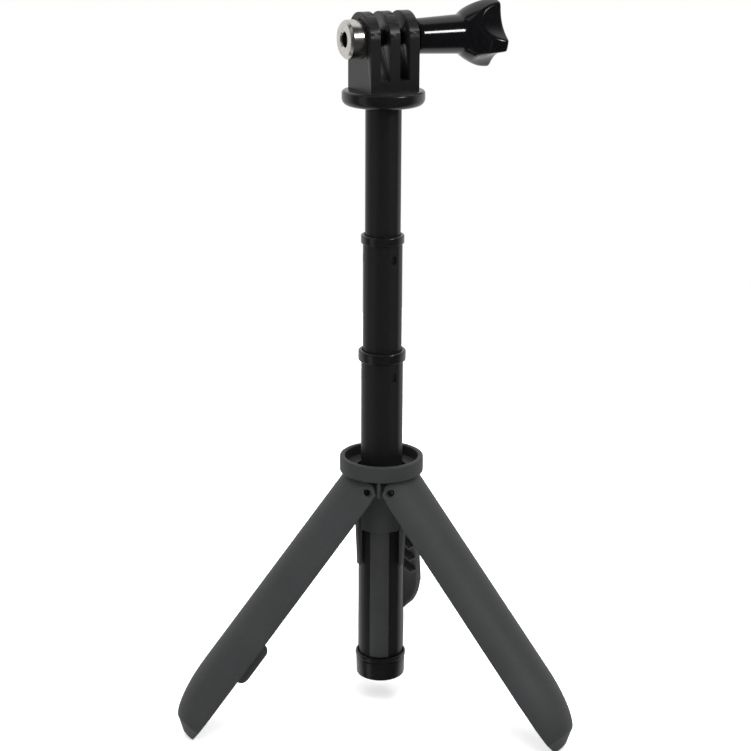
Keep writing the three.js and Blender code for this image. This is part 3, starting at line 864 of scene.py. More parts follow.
@dataclass
class CameraMount:
    """The disc on top of the pole, the three-finger block, the nut and the parts that hold them."""

    disc: Extent = measured("mount_disc")
    block: Extent = measured("mount_fingers")
    nut: Extent = measured("clamp_nut")
    plug: Extent = measured("tube_plug")
    screw: Extent = measured("fixing_screw")
    tube_radius: float = 5.26
    lower_round: float = 2.1
    upper_round: float = 0.9
    socket_depth: float = 2.2
    pocket_depth: float = 0.8
    slot_width: float = 3.1
    slot_floor: float = 3.3
    slot_reach: float = 20.0
    bolt_radius: float = 2.4
    block_edge: float = 0.32
    nut_recess: float = 0.8
    nut_eye: float = 2.1
    nut_chamfer: float = 0.75
    eye_chamfer: float = 0.35
    eye_length: float = 1.0
    screw_radius: float = 1.45
    screw_pitch: float = 0.6
    thread_depth: float = 0.25
    drive_radius: float = 0.95
    drive_depth: float = 1.0

    def build(self) -> None:
        """Build and dress every piece of the mount."""
        self.build_disc()
        self.build_block()
        self.build_nut()
        self.build_fixings()

    def build_disc(self) -> None:
        """A disc with a full lower edge, hollow for the tube below and the block above."""
        low, high, radius = self.disc.low.z, self.disc.high.z, self.disc.high.x
        socket = self.tube_radius + FIT_GAP
        bore = self.screw_radius + FIT_GAP
        step = low + self.socket_depth
        body = Blank.turned(softened([
            (socket, low, 0.15), (radius, low, self.lower_round), (radius, high, self.upper_round),
            (bore, high, 0), (bore, step, 0), (socket, step, 0),
        ], 8), FINE_ROUND)
        half_x, half_y = self.block.high.x + FIT_GAP, self.block.high.y + FIT_GAP
        pocket = Blank.block((-half_x, -half_y, high - self.pocket_depth), (half_x, half_y, high + 1))
        body.mixed(Mix.CUT, pocket).piece("mount_disc_ring", RING, Side.UPPER.value, ["mount_disc"])

    def build_block(self) -> None:
        """Three round-topped fingers on one foot, bored for the bolt."""
        foot, half_y, half_x = self.block.low.z, self.block.high.y, self.block.high.x
        axis = self.nut.middle.z
        side = [(half_y, foot), *arc((0, axis), half_y, 0, 180, 56), (-half_y, foot)]
        stand = Matrix.Rotation(math.pi / 2, 4, "Z") @ Matrix.Rotation(math.pi / 2, 4, "X")
        body = Blank.raised(side, -half_x, half_x).moved(stand)
        finger = (2 * half_x - 2 * self.slot_width) / 3
        centre = (finger + self.slot_width) / 2
        floor = self.disc.high.z + self.slot_floor
        reach, half_slot = 3 * half_x, self.slot_width / 2
        tools = [
            Blank.block((x - half_slot, -self.slot_reach, floor),
                        (x + half_slot, self.slot_reach, axis + self.slot_reach))
            for x in (-centre, centre)
        ]
        tools.append(Blank.rod(self.bolt_radius + FIT_GAP, -reach, reach).along_x().shifted(z=axis))
        recess = Blank.rod(self.nut.high.y + FIT_GAP, -reach, self.nut_recess - half_x, 64)
        tools.append(recess.along_x().shifted(z=axis))
        tools.append(Blank.rod(self.screw_radius + FIT_GAP, foot - 1, floor - 1))
        shape = body.mixed(Mix.CUT, *tools).bevelled(self.block_edge)
        shape.piece("finger_block", SATIN, Side.UPPER.value, ["mount_fingers"], flat_faces=True)

    def build_nut(self) -> None:
        """A round barrel nut with a chamfered face and an eye that shows the bolt's end."""
        outer, inner, radius = self.nut.low.x, self.nut.high.x, self.nut.high.y
        eye, chamfer, bevel = self.nut_eye, self.nut_chamfer, self.eye_chamfer
        bore, seat = self.bolt_radius + FIT_GAP, outer + self.eye_length
        outline = softened([
            (eye + bevel, outer, 0.1), (radius - chamfer, outer, 0.25), (radius, outer + chamfer, 0.25),
            (radius, inner, 0.15), (bore, inner, 0.1), (bore, seat, 0), (eye, seat, 0.1),
            (eye, outer + bevel, 0.1),
        ])
        shape = Blank.turned(outline, ROUND).along_x().shifted(z=self.nut.middle.z)
        shape.piece("barrel_nut", NICKEL, Side.UPPER.value, ["clamp_nut"])

    def build_fixings(self) -> None:
        """The plug inside the tube and the screw up through it into the finger block."""
        low, high, radius = self.plug.low.z, self.plug.high.z, self.plug.high.x
        bore = self.screw_radius + FIT_GAP
        plug = Blank.turned(softened([
            (bore, low, 0), (radius, low, 0.5), (radius, high, 0.2), (bore, high, 0),
        ]))
        plug.piece("tube_plug_turned", NYLON, Side.UPPER.value, ["tube_plug"])
        base, tip, head = self.screw.low.z, self.screw.high.z, self.screw.high.x
        under = low - SEAT_GAP
        core = self.screw_radius - self.thread_depth
        drive, drive_top = self.drive_radius, base + self.drive_depth
        shape = Blank.turned(softened([
            (0, drive_top, 0), (drive, drive_top, 0), (drive, base, 0.1), (head, base, 0.5),
            (head, under, 0.1), (core, under, 0), (core, tip - 0.5, 0), (0, tip - 0.1, 0),
        ]), PIN_ROUND)
        ridge = thread_ridge(core, tip - 0.8 - under, self.screw_pitch, DARK_STEEL).shifted(z=under + 0.2)
        shape.beside(ridge).piece("fixing_screw_turned", DARK_STEEL, Side.UPPER.value, ["fixing_screw"])


@dataclass
class ClampScrew:
    """The thumb knob, the bolt fixed in it and the thrust washer."""

    knob: Extent = measured("clamp_knob")
    bolt: Extent = measured("clamp_bolt")
    washer: Extent = measured("thrust_washer")
    sleeve_start: float = 4.95
    sleeve_end: float = 5.65
    sleeve_length: float = 14.6
    lobe_radius: float = 10.1
    lobes: tuple[float, ...] = (72.0, -18.0, -108.0, 162.0)
    scoop_radius: float = 12.4
    scoop_offset: float = 19.2
    scoop_slope: float = 0.12
    rim: float = 0.8
    crest: float = 0.9
    dish: float = 1.3
    mouth_chamfer: float = 0.35
    facets: int = 240
    stations: int = 45
    rim_steps: int = 6
    dish_steps: int = 18
    thread_pitch: float = 0.8
    thread_depth: float = 0.42

    def build(self) -> None:
        """Build and dress the knob, the bolt and the washer."""
        self.build_knob()
        self.build_bolt()
        low, high, radius = self.washer.low.x, self.washer.high.x, self.washer.high.y
        bore = self.bolt.high.y + FIT_GAP
        outline = softened([(bore, low, 0.1), (radius, low, 0.35), (radius, high, 0.35), (bore, high, 0.1)])
        washer = Blank.turned(outline, ROUND).along_x().shifted(z=self.bolt.middle.z)
        washer.piece("thrust_ring", RING, Side.CARRIAGE.value, ["thrust_washer"])

    def blank_radius(self, x: float) -> float:
        """Work out the knob's radius before it is scooped.

        Args:
            x: The place along the bolt.

        Returns:
            The radius there.
        """
        start, end = self.knob.low.x, self.knob.high.x
        bell = start + self.sleeve_length
        if x <= bell:
            flare = self.sleeve_end - self.sleeve_start
            return self.sleeve_start + flare * (x - start) / self.sleeve_length
        share = min(1.0, (x - bell) / (end - 0.6 - bell))
        return self.sleeve_end + (self.lobe_radius - self.sleeve_end) * (1 - (1 - share) ** 2)

    def scooped_radius(self, angle: float, x: float) -> float:
        """Work out the knob's radius with the scoops between its lobes taken out.

        Args:
            angle: The angle about the bolt, in radians from -Y towards +Z.
            x: The place along the bolt.

        Returns:
            The radius there.
        """
        whole = self.blank_radius(x)
        spacing = 360 / len(self.lobes)
        from_scoop = (math.degrees(angle) - self.lobes[0] - spacing / 2 + 180) % spacing
        away = math.radians(min(from_scoop, spacing - from_scoop))
        offset = self.scoop_offset + self.scoop_slope * (self.knob.high.x - x)
        inside = self.scoop_radius ** 2 - (offset * math.sin(away)) ** 2
        if inside <= 0:
            return whole
        scoop = offset * math.cos(away) - math.sqrt(inside)
        blend = max(0.0, min(1.0, 0.5 + 0.5 * (scoop - whole) / self.crest))
        return scoop + (whole - scoop) * blend - self.crest * blend * (1 - blend)

    def build_knob(self) -> None:
        """A sleeve that flares into a bell, scooped out between its lobes and dished at the end."""
        start, end, axis = self.knob.low.x, self.knob.high.x, self.bolt.middle.z
        bore, depth = self.bolt.high.y + FIT_GAP, self.bolt.high.x - start + SEAT_GAP
        mouth, last = start + self.mouth_chamfer, self.stations - 1
        stations = [mouth + (end - self.rim - mouth) * (i / last) ** 0.9 for i in range(self.stations)]
        angles = [FULL_TURN * i / self.facets for i in range(self.facets)]

        def ring(x: float, radius: Callable[[float], float]) -> list[Point]:
            """A ring about the bolt at x, whose angles run from -Y towards +Z."""
            return [(x, -radius(a) * math.cos(a), axis + radius(a) * math.sin(a)) for a in angles]

        first = self.sleeve_start
        rings = [ring(start + depth, lambda a: 0.0), ring(start + depth, lambda a: bore)]
        rings += [ring(start, lambda a: bore), ring(start, lambda a: first - self.mouth_chamfer)]
        rings += [ring(start + 0.1, lambda a: first - 0.1)]
        rings += [ring(x, lambda a, x=x: self.scooped_radius(a, x)) for x in stations]
        for step in range(1, self.rim_steps + 1):
            turn = step / self.rim_steps * math.pi / 2
            x, inset = end - self.rim * (1 - math.sin(turn)), self.rim * (1 - math.cos(turn))
            rings.append(ring(x, lambda a, x=x, inset=inset: self.scooped_radius(a, x) - inset))
        for step in range(1, self.dish_steps + 1):
            share = 1 - step / self.dish_steps
            x = end - self.dish * (0.5 + 0.5 * math.cos(math.pi * share))
            rings.append(ring(x, lambda a, s=share: (self.scooped_radius(a, end) - self.rim) * s))
        Blank.lofted(rings).piece("thumb_knob", GLOSS, Side.SCREW.value, ["clamp_knob"], sharp=60)

    def build_bolt(self) -> None:
        """The bolt's core with its thread."""
        start, end, radius = self.bolt.low.x, self.bolt.high.x, self.bolt.high.y
        core = radius - self.thread_depth
        rod = Blank.turned(softened([
            (0, start, 0), (core - 0.3, start, 0.05), (core, start + 0.35, 0.1), (core, end, 0), (0, end, 0),
        ]), PIN_ROUND)
        runout = self.thread_pitch
        ridge = thread_ridge(core, end - start - 2 * runout, self.thread_pitch, DARK_STEEL)
        shape = rod.beside(ridge.shifted(z=start + runout)).along_x().shifted(z=self.bolt.middle.z)
        shape.piece("threaded_bolt", DARK_STEEL, Side.SCREW.value, ["clamp_bolt"], sharp=50)


@dataclass
class Stage:
    """One telescoping tube with its glide and, on the two outer ones, its collar."""

    name: str
    body: Side
    radius: float
    collar_radius: float = 0.0
    next_radius: float = 0.0
    wall: float = 0.34
    flat: float = 0.2
    glide_wall: float = 0.9
    glide_foot: float = 3.0
    collar_lip: float = 1.0
    window_width: float = 1.6
    window_height: float = 2.4
    window_drop: float = 4.4

    def build(self) -> None:
        """Build and dress the stage."""
        tube = Extent.of(f"{self.name}_tube")
        self.build_tube(tube)
        self.build_glide(Extent.of(f"{self.name}_glide"))
        if self.collar_radius:
            self.build_collar(Extent.of(f"{self.name}_collar"))

    def build_tube(self, tube: Extent) -> None:
        """A drawn tube with flats along it and small windows under its collar."""
        shape = drawn_tube(self.radius, tube.low.z, tube.high.z, self.flat, self.wall, False)
        if self.collar_radius:
            middle = Extent.of(f"{self.name}_collar").low.z - self.window_drop
            half_width, half_height = self.window_width / 2, self.window_height / 2
            tool = Blank.block((self.radius / 2, -half_width, middle - half_height),
                               (self.radius * 2, half_width, middle + half_height))
            shape = shape.mixed(Mix.CUT, *[tool.about_pole(angle) for angle in FLAT_ANGLES])
        shape.piece(f"{self.name}_stage_tube", LACQUER, self.body.value, [f"{self.name}_tube"], sharp=30)

    def build_glide(self, glide: Extent) -> None:
        """The split nylon ring that guides the tube's lower end."""
        inner = self.radius - self.wall - self.glide_wall
        spigot = self.radius - self.wall - self.flat - FIT_GAP
        shoulder = glide.low.z + self.glide_foot
        outer = glide.high.x
        shape = Blank.turned(softened([
            (inner, glide.low.z, 0), (outer, glide.low.z, 0.4), (outer, shoulder, 0.2), (spigot, shoulder, 0),
            (spigot, glide.high.z, 0.2), (inner, glide.high.z, 0),
        ]))
        shape.piece(f"{self.name}_guide", NYLON, self.body.value, [f"{self.name}_glide"])

    def build_collar(self, collar: Extent) -> None:
        """A full ring over the tube's mouth, with its lip round the next tube."""
        low, high = collar.low.z, collar.high.z
        inside = self.radius + FIT_GAP
        mouth = self.next_radius + FIT_GAP
        shape = Blank.turned(softened([
            (inside, low, 0.1), (self.collar_radius, low, 0.75), (self.collar_radius, high, 0.9),
            (mouth, high, 0.2), (mouth, high - self.collar_lip, 0.1), (inside, high - self.collar_lip, 0),
        ], 7), FINE_ROUND)
        shape.piece(f"{self.name}_ring", RING, self.body.value, [f"{self.name}_collar"])


@dataclass
class Column:
    """The gloss column with three matte spines, and the cap on its foot."""

    sleeve: Extent = measured("column_sleeve")
    cap: Extent = measured("end_cap")
    bore: float = 6.42
    wall: float = 0.36
    flat: float = 0.2
    spine_width: float = 5.7
    spine_proud: float = 0.25
    spine_root: float = 0.1
    spine_edge: float = 0.12
    cap_floor: float = 2.2
    cap_foot: float = 5.6
    cap_band: float = 1.2

    def build(self) -> None:
        """Build and dress the column, its spines and its cap."""
        radius = self.bore + self.wall
        low, high = self.sleeve.low.z, self.sleeve.high.z
        tube = drawn_tube(self.bore, low, high, self.flat, self.wall, True)
        tube.piece("column_tube", LACQUER, Side.BASE.value, ["column_sleeve"], sharp=30)
        self.build_spines(radius, high)
        self.build_cap(radius)

    def build_spines(self, radius: float, high: float) -> None:
        """Build three raised strips along the column, between the legs.

        Args:
            radius: The column's outside.
            high: Height of their upper ends.
        """
        low = self.cap.high.z + SEAT_GAP
        half = math.asin(self.spine_width / 2 / radius)
        outer, inner = radius + self.spine_proud, radius - self.spine_root
        spines = []
        for leg in Legs.directions():
            middle = math.radians(leg + 60)
            angles = [middle - half + 2 * half * i / 16 for i in range(17)]
            outside = [(outer * math.cos(a), outer * math.sin(a)) for a in angles]
            inside = [(inner * math.cos(a), inner * math.sin(a)) for a in reversed(angles)]
            spines.append(Blank.raised(outside + inside, low, high).bevelled(self.spine_edge, 2, 50))
        spines[0].beside(*spines[1:]).piece("column_spines", SPINE, Side.BASE.value)

    def build_cap(self, radius: float) -> None:
        """Build a turned cap with a raised band at its mouth and a grooved waist.

        Args:
            radius: The column's outside, which it fits over.
        """
        low, high, wide = self.cap.low.z, self.cap.high.z, self.cap.high.x
        bore, floor, foot = radius + FIT_GAP, low + self.cap_floor, self.cap_foot
        band, waist = high - self.cap_band, wide - 0.45
        shape = Blank.turned(softened([
            (0, low, 0), (foot, low, 0.15), (foot + 0.3, low + 0.25, 0.1), (wide - 0.35, low + 0.25, 1.2),
            (wide - 0.2, band - 0.8, 0.3), (waist, band - 0.55, 0.15), (waist, band - 0.25, 0.15),
            (wide, band, 0.3), (wide, high, 0.4), (bore, high, 0.1), (bore, floor, 0), (0, floor, 0),
        ], 6), FINE_ROUND)
        shape.piece("foot_cap", RING, Side.BASE.value, ["end_cap"])


@dataclass
class Hub:
    """The cup at the head of the legs, with the lugs that they hinge on."""

    housing: Extent = measured("hub_housing")
    hinge: Extent = measured("hinge_pin_1")
    cup_height: float = 5.0
    cup_radius: float = 12.6
    cup_wall: float = 1.6
    cup_floor: float = 1.5
    seat_floor: float = 0.4
    seat_radius: float = 7.4
    core_bore: float = 7.15
    core_wall: float = 0.75
    skirt_drop: float = 14.1
    gusset_drop: float = 12.0
    gusset_width: float = 2.4
    lug_width: float = 9.8
    lug_radius: float = 1.75
    fin_thickness: float = 1.0
    fin_radius: float = 11.8
    pin_radius: float = 0.9
    root: float = 0.2
    hair: float = 0.01
    web_edge: float = 0.2

    @property
    def core(self) -> float:
        """Radius of the core's outside."""
        return self.core_bore + self.core_wall

    @property
    def under(self) -> float:
        """Height of the cup's underside."""
        return self.housing.high.z - self.cup_height

    @property
    def skirt(self) -> float:
        """Height of the core's lower end."""
        return self.hinge.middle.z - self.skirt_drop

    def build(self) -> None:
        """Join the cup, the lugs, the gussets and the fins, and bore them for the pins."""
        pivot, out = self.hinge.middle.z, Vector(self.hinge.middle.xy).length
        per_leg = (self.lug(out, pivot), self.web(out, pivot), self.gusset(pivot))
        added = [shape.about_pole(leg) for leg in Legs.directions() for shape in per_leg]
        added += [self.fin(pivot).about_pole(leg + 60) for leg in Legs.directions()]
        bore = Blank.rod(self.pin_radius + FIT_GAP / 2, -self.lug_width, self.lug_width)
        bore = bore.along_y().shifted(out, 0, pivot)
        holes = [bore.about_pole(leg) for leg in Legs.directions()]
        shape = self.cup().mixed(Mix.JOIN, *added).mixed(Mix.CUT, *holes)
        shape.piece("hub_shell", GRIP, Side.BASE.value, ["hub_housing"], sharp=32)

    def cup(self) -> Blank:
        """The open cup and the core that runs down from it."""
        top, under, skirt = self.housing.high.z, self.under, self.skirt
        inner, floor, seat = self.cup_radius - self.cup_wall, under + self.cup_floor, under + self.seat_floor
        return Blank.turned(softened([
            (self.core_bore, skirt, 0.1), (self.core, skirt, 0.25), (self.core, under, 0.4),
            (self.cup_radius, under, 0.55), (self.cup_radius, top, 0.5), (inner, top, 0.45),
            (inner, floor, 0.5), (self.seat_radius, floor, 0.2), (self.seat_radius, seat, 0),
            (self.core_bore, seat, 0),
        ], 6), FINE_ROUND)

    def lug(self, out: float, pivot: float) -> Blank:
        """The round end of a hinge lug, at a radius and a height."""
        half = self.lug_width / 2
        return Blank.rod(self.lug_radius, -half, half, PIN_ROUND, 0.2).along_y().shifted(out, 0, pivot)

    def web(self, out: float, pivot: float) -> Blank:
        """What joins a lug to the core, a hair inside the lug's faces."""
        half, rise = self.lug_width / 2 - self.hair, self.lug_radius - self.hair
        low = (self.core_bore + self.root, -half, pivot - rise)
        return Blank.block(low, (out, half, pivot + rise)).bevelled(self.web_edge, 2)

    def gusset(self, pivot: float) -> Blank:
        """The tapered strip that runs down the core under a lug."""
        back, tip, core = self.core_bore + self.root, self.skirt - self.gusset_drop, self.core
        side = [(back, pivot), (back, tip), (back + 0.3, tip), (core + 0.3, self.skirt), (core + 0.5, pivot)]
        half = self.gusset_width / 2
        return Blank.raised(side, -half, half).moved(Matrix.Rotation(math.pi / 2, 4, "X")).bevelled(0.25, 2)

    def fin(self, pivot: float) -> Blank:
        """The thin wall under the cup, between two legs."""
        thin = self.fin_thickness / 2
        low = (self.core_bore + self.root, -thin, pivot - self.lug_radius)
        return Blank.block(low, (self.fin_radius, thin, self.under + self.root)).bevelled(self.web_edge, 2)


@dataclass
class Legs:
    """Three shell legs, ribbed inside, each on its own hinge pin."""

    pin: Extent = measured("hinge_pin_1")
    cap: Extent = measured("end_cap")
    length: float = 91.0
    radius: float = 12.5
    wall: float = 1.8
    seam: float = 1.6
    cheek_depth: float = 7.0
    head_edge: float = 1.75
    head_round: float = 1.4
    head_rise: float = 3.1
    lug_width: float = 9.8
    lug_radius: float = 1.75
    foot_length: float = 22.0
    foot_radius: float = 8.4
    foot_crown: float = 3.6
    foot_heel: float = 2.4
    rib_count: int = 7
    rib_pitch: float = 9.0
    rib_thickness: float = 1.2
    rib_first: float = 11.0
    tongue_length: float = 13.6
    tongue_centre: float = 61.0
    tongue_thickness: float = 1.4
    tongue_reach: float = 2.1
    tongue_ramp: float = 2.6
    tongue_root: float = 5.0
    tongue_free: float = 0.8
    wall_bite: float = 0.4
    rib_to_cap: float = 0.75
    cheek_inset: float = 2.7
    neck_drop: float = 1.5
    heel_drop: float = 4.0
    pin_radius: float = 0.9
    pin_length: float = 16.2
    grain: float = 0.3
    smoothing: int = 4

    @staticmethod
    def directions() -> list[float]:
        """The directions of the legs, in degrees from +X."""
        pins = [Extent.of(f"hinge_pin_{number}").middle for number in (1, 2, 3)]
        return [math.degrees(math.atan2(pin.y, pin.x)) for pin in pins]

    @staticmethod
    def splay() -> float:
        """How far the legs stand open, in degrees."""
        return max(abs(limit) for joint in frame["joints"] if joint["child"] == "leg_1"
                   for limit in joint["range_deg"])

    def build(self) -> None:
        """Build one leg, and stand it open in each direction with its pin."""
        folded = self.folded_leg().fused(self.grain, self.smoothing)
        ribs = self.ribs()
        pivot, out = self.pin.middle.z, Vector(self.pin.middle.xy).length
        swing = Matrix.Translation((out, 0, pivot)) @ Matrix.Rotation(-math.radians(self.splay()), 4, "Y")
        swing = swing @ Matrix.Translation((-out, 0, -pivot))
        pin = Blank.rod(self.pin_radius, -self.pin_length / 2, self.pin_length / 2, PIN_ROUND, 0.2)
        pin = pin.along_y().shifted(out, 0, pivot)
        bodies = pin_bodies()
        for number, direction in enumerate(self.directions(), 1):
            leg = f"leg_{number}"
            folded.moved(swing).about_pole(direction).piece(f"{leg}_shell", GRIP, leg, [leg], sharp=60)
            ribs.moved(swing).about_pole(direction).piece(f"{leg}_ribs", GRIP, leg)
            rod = f"hinge_pin_{number}"
            pin.about_pole(direction).piece(f"{rod}_turned", DARK_STEEL, bodies[rod], [rod])

    def profile(self, inset: float) -> list[Flat]:
        """Draw the leg's side, from its shoulder to its foot.

        Args:
            inset: How far inside the leg's outside the line runs.

        Returns:
            Radius and depth below the pin of each point.
        """
        shoulder = self.length - self.foot_length
        rim = self.length - self.foot_crown
        steps = 20
        dome = []
        for i in range(steps + 1):
            turn = i / steps * math.pi / 2
            draw = (1 - math.cos(turn) ** 1.2) * (self.radius - self.foot_radius)
            drop = math.sin(turn) * (rim - shoulder)
            dome.append((self.radius - draw - inset, shoulder + drop - inset * i / steps))
        tip = (self.foot_radius * 0.55, self.length - self.foot_crown * 0.3 - inset)
        return [*dome, tip, (0, self.length - inset)]

    def sector(self, seam: float) -> Blank:
        """A third of the space round the pole, less a seam at each side."""
        apex = seam / 2 / math.sin(math.radians(60))
        far = 3 * self.radius
        x, y = apex + far * 0.5, far * math.sin(math.radians(60))
        return Blank.raised([(apex, 0), (x, -y), (2 * far, 0), (x, y)], -SPAN, 2 * SPAN)

    def ribs(self) -> Blank:
        """The row of thin ribs across the inside of the folded leg."""
        outer, inner = self.radius - self.wall + self.wall_bite, self.cap.high.x + self.rib_to_cap
        half = self.rib_thickness / 2
        top = self.pin.middle.z - self.rib_first
        low, high = top - half, top + half
        ring = Blank.turned([(inner, low), (outer, low), (outer, high), (inner, high)])
        rib = ring.mixed(Mix.KEEP, self.sector(self.seam + self.wall_bite)).bevelled(0.15, 2)
        return row_of(rib, self.rib_count, self.rib_pitch, GRIP)

    def folded_leg(self) -> Blank:
        """The leg as it lies against the pole, along +X, in sharp-edged solids."""
        pivot, out = self.pin.middle.z, Vector(self.pin.middle.xy).length
        top = self.head_round + self.head_rise + SEAT_GAP
        whole = Blank.turned([(r, pivot - d) for r, d in [(0, -top), (self.radius, -top), *self.profile(0)]])
        inside = [(0, -top - 1), (self.radius - self.wall, -top - 1), *self.profile(self.wall)]
        hollow = Blank.turned([(r, pivot - d) for r, d in inside])
        lug_side = self.lug_width / 2 + SEAT_GAP
        # No two far faces of these blocks lie in one plane.
        room = Blank.block((-SPAN, -lug_side, -2 * SPAN), (SPAN, lug_side, 2 * SPAN)).mixed(
            Mix.JOIN,
            Blank.block((-SPAN - 1, -SPAN, -2 * SPAN - 1), (SPAN + 1, SPAN, pivot - self.cheek_depth)),
            Blank.block((-SPAN - 2, -SPAN - 1, 1 - 2 * SPAN),
                        (out - self.cheek_inset, SPAN + 1, 2 * SPAN - 1)),
        )
        shell = whole.mixed(Mix.CUT, hollow.mixed(Mix.KEEP, room)).mixed(Mix.KEEP, self.sector(self.seam))
        knuckle = Blank.rod(self.lug_radius + SEAT_GAP, -lug_side, lug_side).along_y()
        bore = Blank.rod(self.pin_radius + FIT_GAP / 2, -SPAN / 2, SPAN / 2).along_y()
        shell = shell.mixed(Mix.KEEP, self.head(out, pivot))
        shell = shell.mixed(Mix.CUT, knuckle.shifted(out, 0, pivot), bore.shifted(out, 0, pivot))
        return shell.beside(*self.tongue(pivot))

    def tongue(self, pivot: float) -> list[Blank]:
        """Make the side tongue that tucks behind the next leg.

        Args:
            pivot: Height of the hinge pin.

        Returns:
            The tongue, and its root inside the wall.
        """
        outer = self.radius - self.wall - SEAT_GAP
        inner = outer - self.tongue_thickness
        edge = 60 - math.degrees(math.asin(self.seam / 2 / outer))
        half = self.tongue_length / 2
        quarter = arc((0, 0), 1, 0, 90, 12)
        ramp = [(x * self.tongue_reach, half - self.tongue_ramp * (1 - y)) for x, y in quarter]
        back, free = -self.tongue_root, -self.tongue_free
        tip = [(back, -half), *[(x, -z) for x, z in reversed(ramp)], *ramp, (back, half)]
        root = [(back, -half), (free, -half), (free, half), (back, half)]
        turn = Matrix.Translation((0, 0, pivot - self.tongue_centre))
        turn = turn @ Matrix.Rotation(math.radians(edge + 90), 4, "Z") @ Matrix.Rotation(math.pi / 2, 4, "X")

        def layer(outline: list[Flat], high: float, low: float) -> Blank:
            """The part of an outline, seen from the pole axis, that lies between two radii."""
            ring = Blank.turned([(low, -SPAN), (high, -SPAN), (high, 2 * SPAN), (low, 2 * SPAN)])
            return Blank.raised(outline, 0, 2 * self.radius).moved(turn).mixed(Mix.KEEP, ring)

        return [layer(tip, outer, inner), layer(root, self.radius - self.wall + self.wall_bite, inner + 0.01)]

    def head(self, out: float, pivot: float) -> Blank:
        """Make the leg's side view: a flat top at the open stop and a round where it passes the hub.

        Args:
            out: Distance of the hinge pin from the pole axis.
            pivot: Height of the hinge pin.

        Returns:
            A block with that side view, which the leg is kept within.
        """
        splay = math.radians(self.splay())

        def opened(a: float, b: float) -> Flat:
            """A point of the open leg's head as it lies on the folded leg."""
            return (a * math.cos(splay) + b * math.sin(splay), -a * math.sin(splay) + b * math.cos(splay))

        turn = (self.head_round - self.head_edge, self.head_rise - self.head_round)
        corner = arc(turn, self.head_round, 90, 180, 10)
        swing = arc((0, 0), self.head_edge, 180, 180 + self.splay(), 10)
        outline = [opened(2 * self.radius, self.head_rise)] + [opened(*p) for p in corner + swing]
        heel, below = self.foot_heel - out, -2.5 * SPAN
        outline += [(-self.head_edge, -self.neck_drop), (heel, -self.heel_drop), (heel, below),
                    (2 * self.radius, below)]
        stand = Matrix.Rotation(math.pi / 2, 4, "X")
        return Blank.raised([(n + out, z + pivot) for n, z in outline], -SPAN, SPAN).moved(stand)


def pin_bodies() -> dict[str, str]:
    """The body that each hinge pin belongs to."""
    bodies = frame["record"]["behaviour"]["bodies"]
    return {node: body for body, nodes in bodies.items() for node in nodes if node.startswith("hinge_pin")}


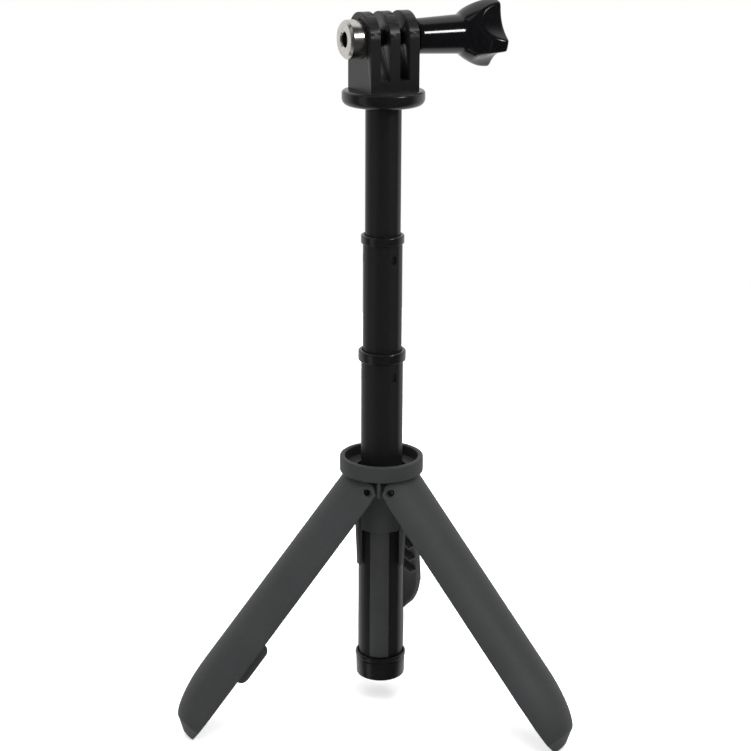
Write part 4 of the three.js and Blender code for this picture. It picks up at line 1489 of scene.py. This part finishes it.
@dataclass
class Studio:
    """The pale floor, the soft lights and the camera."""

    azimuth: float = -26.45
    tilt: float = 16.95
    distance: float = 546.2
    aim_height: float = 97.1
    focal: float = 87.8
    shift: float = -0.00852
    roll: float = 0.32
    backdrop: float = 1.0
    surround: float = 0.34
    mirrored: float = 0.055
    floor_reach: float = 0.42
    floor_glow: float = 0.45

    def build(self) -> None:
        """Set the stage."""
        self.build_floor()
        self.build_world()
        self.build_lights()
        self.build_camera()
        bpy.context.scene.view_settings.view_transform = "Standard"

    def build_floor(self) -> None:
        """A pale floor under the feet, which polished parts don't mirror."""
        mesh = bpy.data.meshes.new("floor")
        reach, height = self.floor_reach, cad_bounds[0].z - 0.0002
        corners = [(x * reach, y * reach, height) for x, y in ((-1, -1), (1, -1), (1, 1), (-1, 1))]
        mesh.from_pydata(corners, [], [(0, 1, 2, 3)])
        floor = bpy.data.objects.new("floor", mesh)
        bpy.context.scene.collection.objects.link(floor)
        material = bpy.data.materials.new("pale_floor")
        material.use_nodes = True
        shader = material.node_tree.nodes["Principled BSDF"]
        shader.inputs["Base Color"].default_value = (0.9, 0.9, 0.9, 1.0)
        shader.inputs["Roughness"].default_value = 0.9
        shader.inputs["Specular IOR Level"].default_value = 0.1
        shader.inputs["Emission Color"].default_value = (1.0, 1.0, 1.0, 1.0)
        shader.inputs["Emission Strength"].default_value = self.floor_glow
        mesh.materials.append(material)
        floor.visible_glossy = False

    def build_world(self) -> None:
        """A white backdrop that lights the object less than it shows, and dark flags in the mirrored room."""
        world = bpy.data.worlds.new("studio")
        world.use_nodes = True
        bpy.context.scene.world = world
        tree = Tree(world.node_tree)
        background = world.node_tree.nodes["Background"]
        background.inputs["Color"].default_value = (1.0, 1.0, 1.0, 1.0)
        ray = tree.node("ShaderNodeLightPath")
        seen, mirrored = ray["Is Camera Ray"], ray["Is Glossy Ray"]
        room = self.room(tree)
        lit = (room - self.surround) * mirrored + self.surround
        strength = (self.backdrop - lit) * seen + lit
        world.node_tree.links.new(strength.socket, background.inputs["Strength"])

    def room(self, tree: Tree) -> Signal:
        """Set what polished parts mirror: a dark room with a white wall behind and two soft bands.

        Args:
            tree: The world's node tree.

        Returns:
            The room's brightness in each direction.
        """
        direction = tree.node("ShaderNodeTexCoord")["Generated"]
        place = tree.node("ShaderNodeSeparateXYZ", {}, {"Vector": direction})
        x, y = place["X"], place["Y"]
        level = (x * x + y * y).math("SQRT").math("MAXIMUM", 1e-4)

        def band(degrees: float, full: float, none: float) -> Signal:
            """1 within an angle of a bearing that is counted from the camera's, and 0 beyond a wider one."""
            bearing = math.radians(self.azimuth + degrees)
            towards = (x * math.sin(bearing) - y * math.cos(bearing)) / level
            sockets = {"Value": towards, "From Min": math.cos(math.radians(none)),
                       "From Max": math.cos(math.radians(full)), "To Min": 0.0, "To Max": 1.0}
            return tree.node("ShaderNodeMapRange", {"interpolation_type": "SMOOTHSTEP"}, sockets)["Result"]

        wall, left, line = band(180, 58, 100), band(-60, 5, 16), band(15, 1.5, 4)
        return wall * 0.8 + left * 0.45 + line * 0.1 + self.mirrored

    def light(
        self, name: str, place: Point, aim: Point, size: Flat, power: float, mirrored: bool = True
    ) -> None:
        """Add a soft box.

        Args:
            name: The light's name.
            place: Where it hangs, in metres.
            aim: What it faces, in metres.
            size: Its width and height, in metres.
            power: Its power, in watts.
            mirrored: Whether polished parts show it.
        """
        data = bpy.data.lights.new(name, "AREA")
        data.shape, data.size, data.size_y, data.energy = "RECTANGLE", size[0], size[1], power
        lamp = bpy.data.objects.new(name, data)
        lamp.visible_camera, lamp.visible_glossy = False, mirrored
        lamp.location = place
        lamp.rotation_euler = (Vector(aim) - Vector(place)).to_track_quat("-Z", "Y").to_euler()
        bpy.context.scene.collection.objects.link(lamp)

    def build_lights(self) -> None:
        """A large box above, a small box at the front right, a softer fill at the left and a box behind."""
        middle = (0.0, 0.0, 0.11)
        self.light("overhead", (0.0, -0.25, 1.1), middle, (1.1, 1.1), 17.0, False)
        self.light("sparkle", (0.40, -0.74, 0.56), (0.0, 0.0, 0.197), (0.16, 0.16), 2.2)
        self.light("fill", (-0.95, -0.35, 0.35), middle, (0.5, 0.7), 5.0, False)
        self.light("back", (0.3, 0.9, 0.5), middle, (0.8, 0.6), 5.0, False)

    def build_camera(self) -> None:
        """The camera, which looks slightly down from the front left."""
        data = bpy.data.cameras.new("camera")
        data.lens, data.sensor_width = self.focal, 36.0
        data.clip_start, data.clip_end = 0.01, 50.0
        data.shift_x = self.shift
        camera = bpy.data.objects.new("camera", data)
        azimuth, tilt = math.radians(self.azimuth), math.radians(self.tilt)
        level = math.cos(tilt)
        back = Vector((math.sin(azimuth) * level, -math.cos(azimuth) * level, math.sin(tilt)))
        camera.location = (Vector((0, 0, self.aim_height)) + back * self.distance) * MM
        look = (-back).to_track_quat("-Z", "Y").to_matrix().to_4x4()
        look = look @ Matrix.Rotation(math.radians(self.roll), 4, "Z")
        camera.rotation_euler = look.to_euler()
        bpy.context.scene.collection.objects.link(camera)
        bpy.context.scene.camera = camera


def main() -> None:
    """Build the stage and every sub-assembly."""
    logging.basicConfig(level=logging.INFO, format="%(message)s")
    Studio().build()
    CameraMount().build()
    ClampScrew().build()
    for stage in (
        Stage("lower", Side.LOWER, 6.3, 7.1, 5.84),
        Stage("middle", Side.MIDDLE, 5.84, 6.35, 5.26),
        Stage("upper", Side.UPPER, 5.26),
    ):
        stage.build()
    Column().build()
    Hub().build()
    Legs().build()


if __name__ == "__main__":
    main()
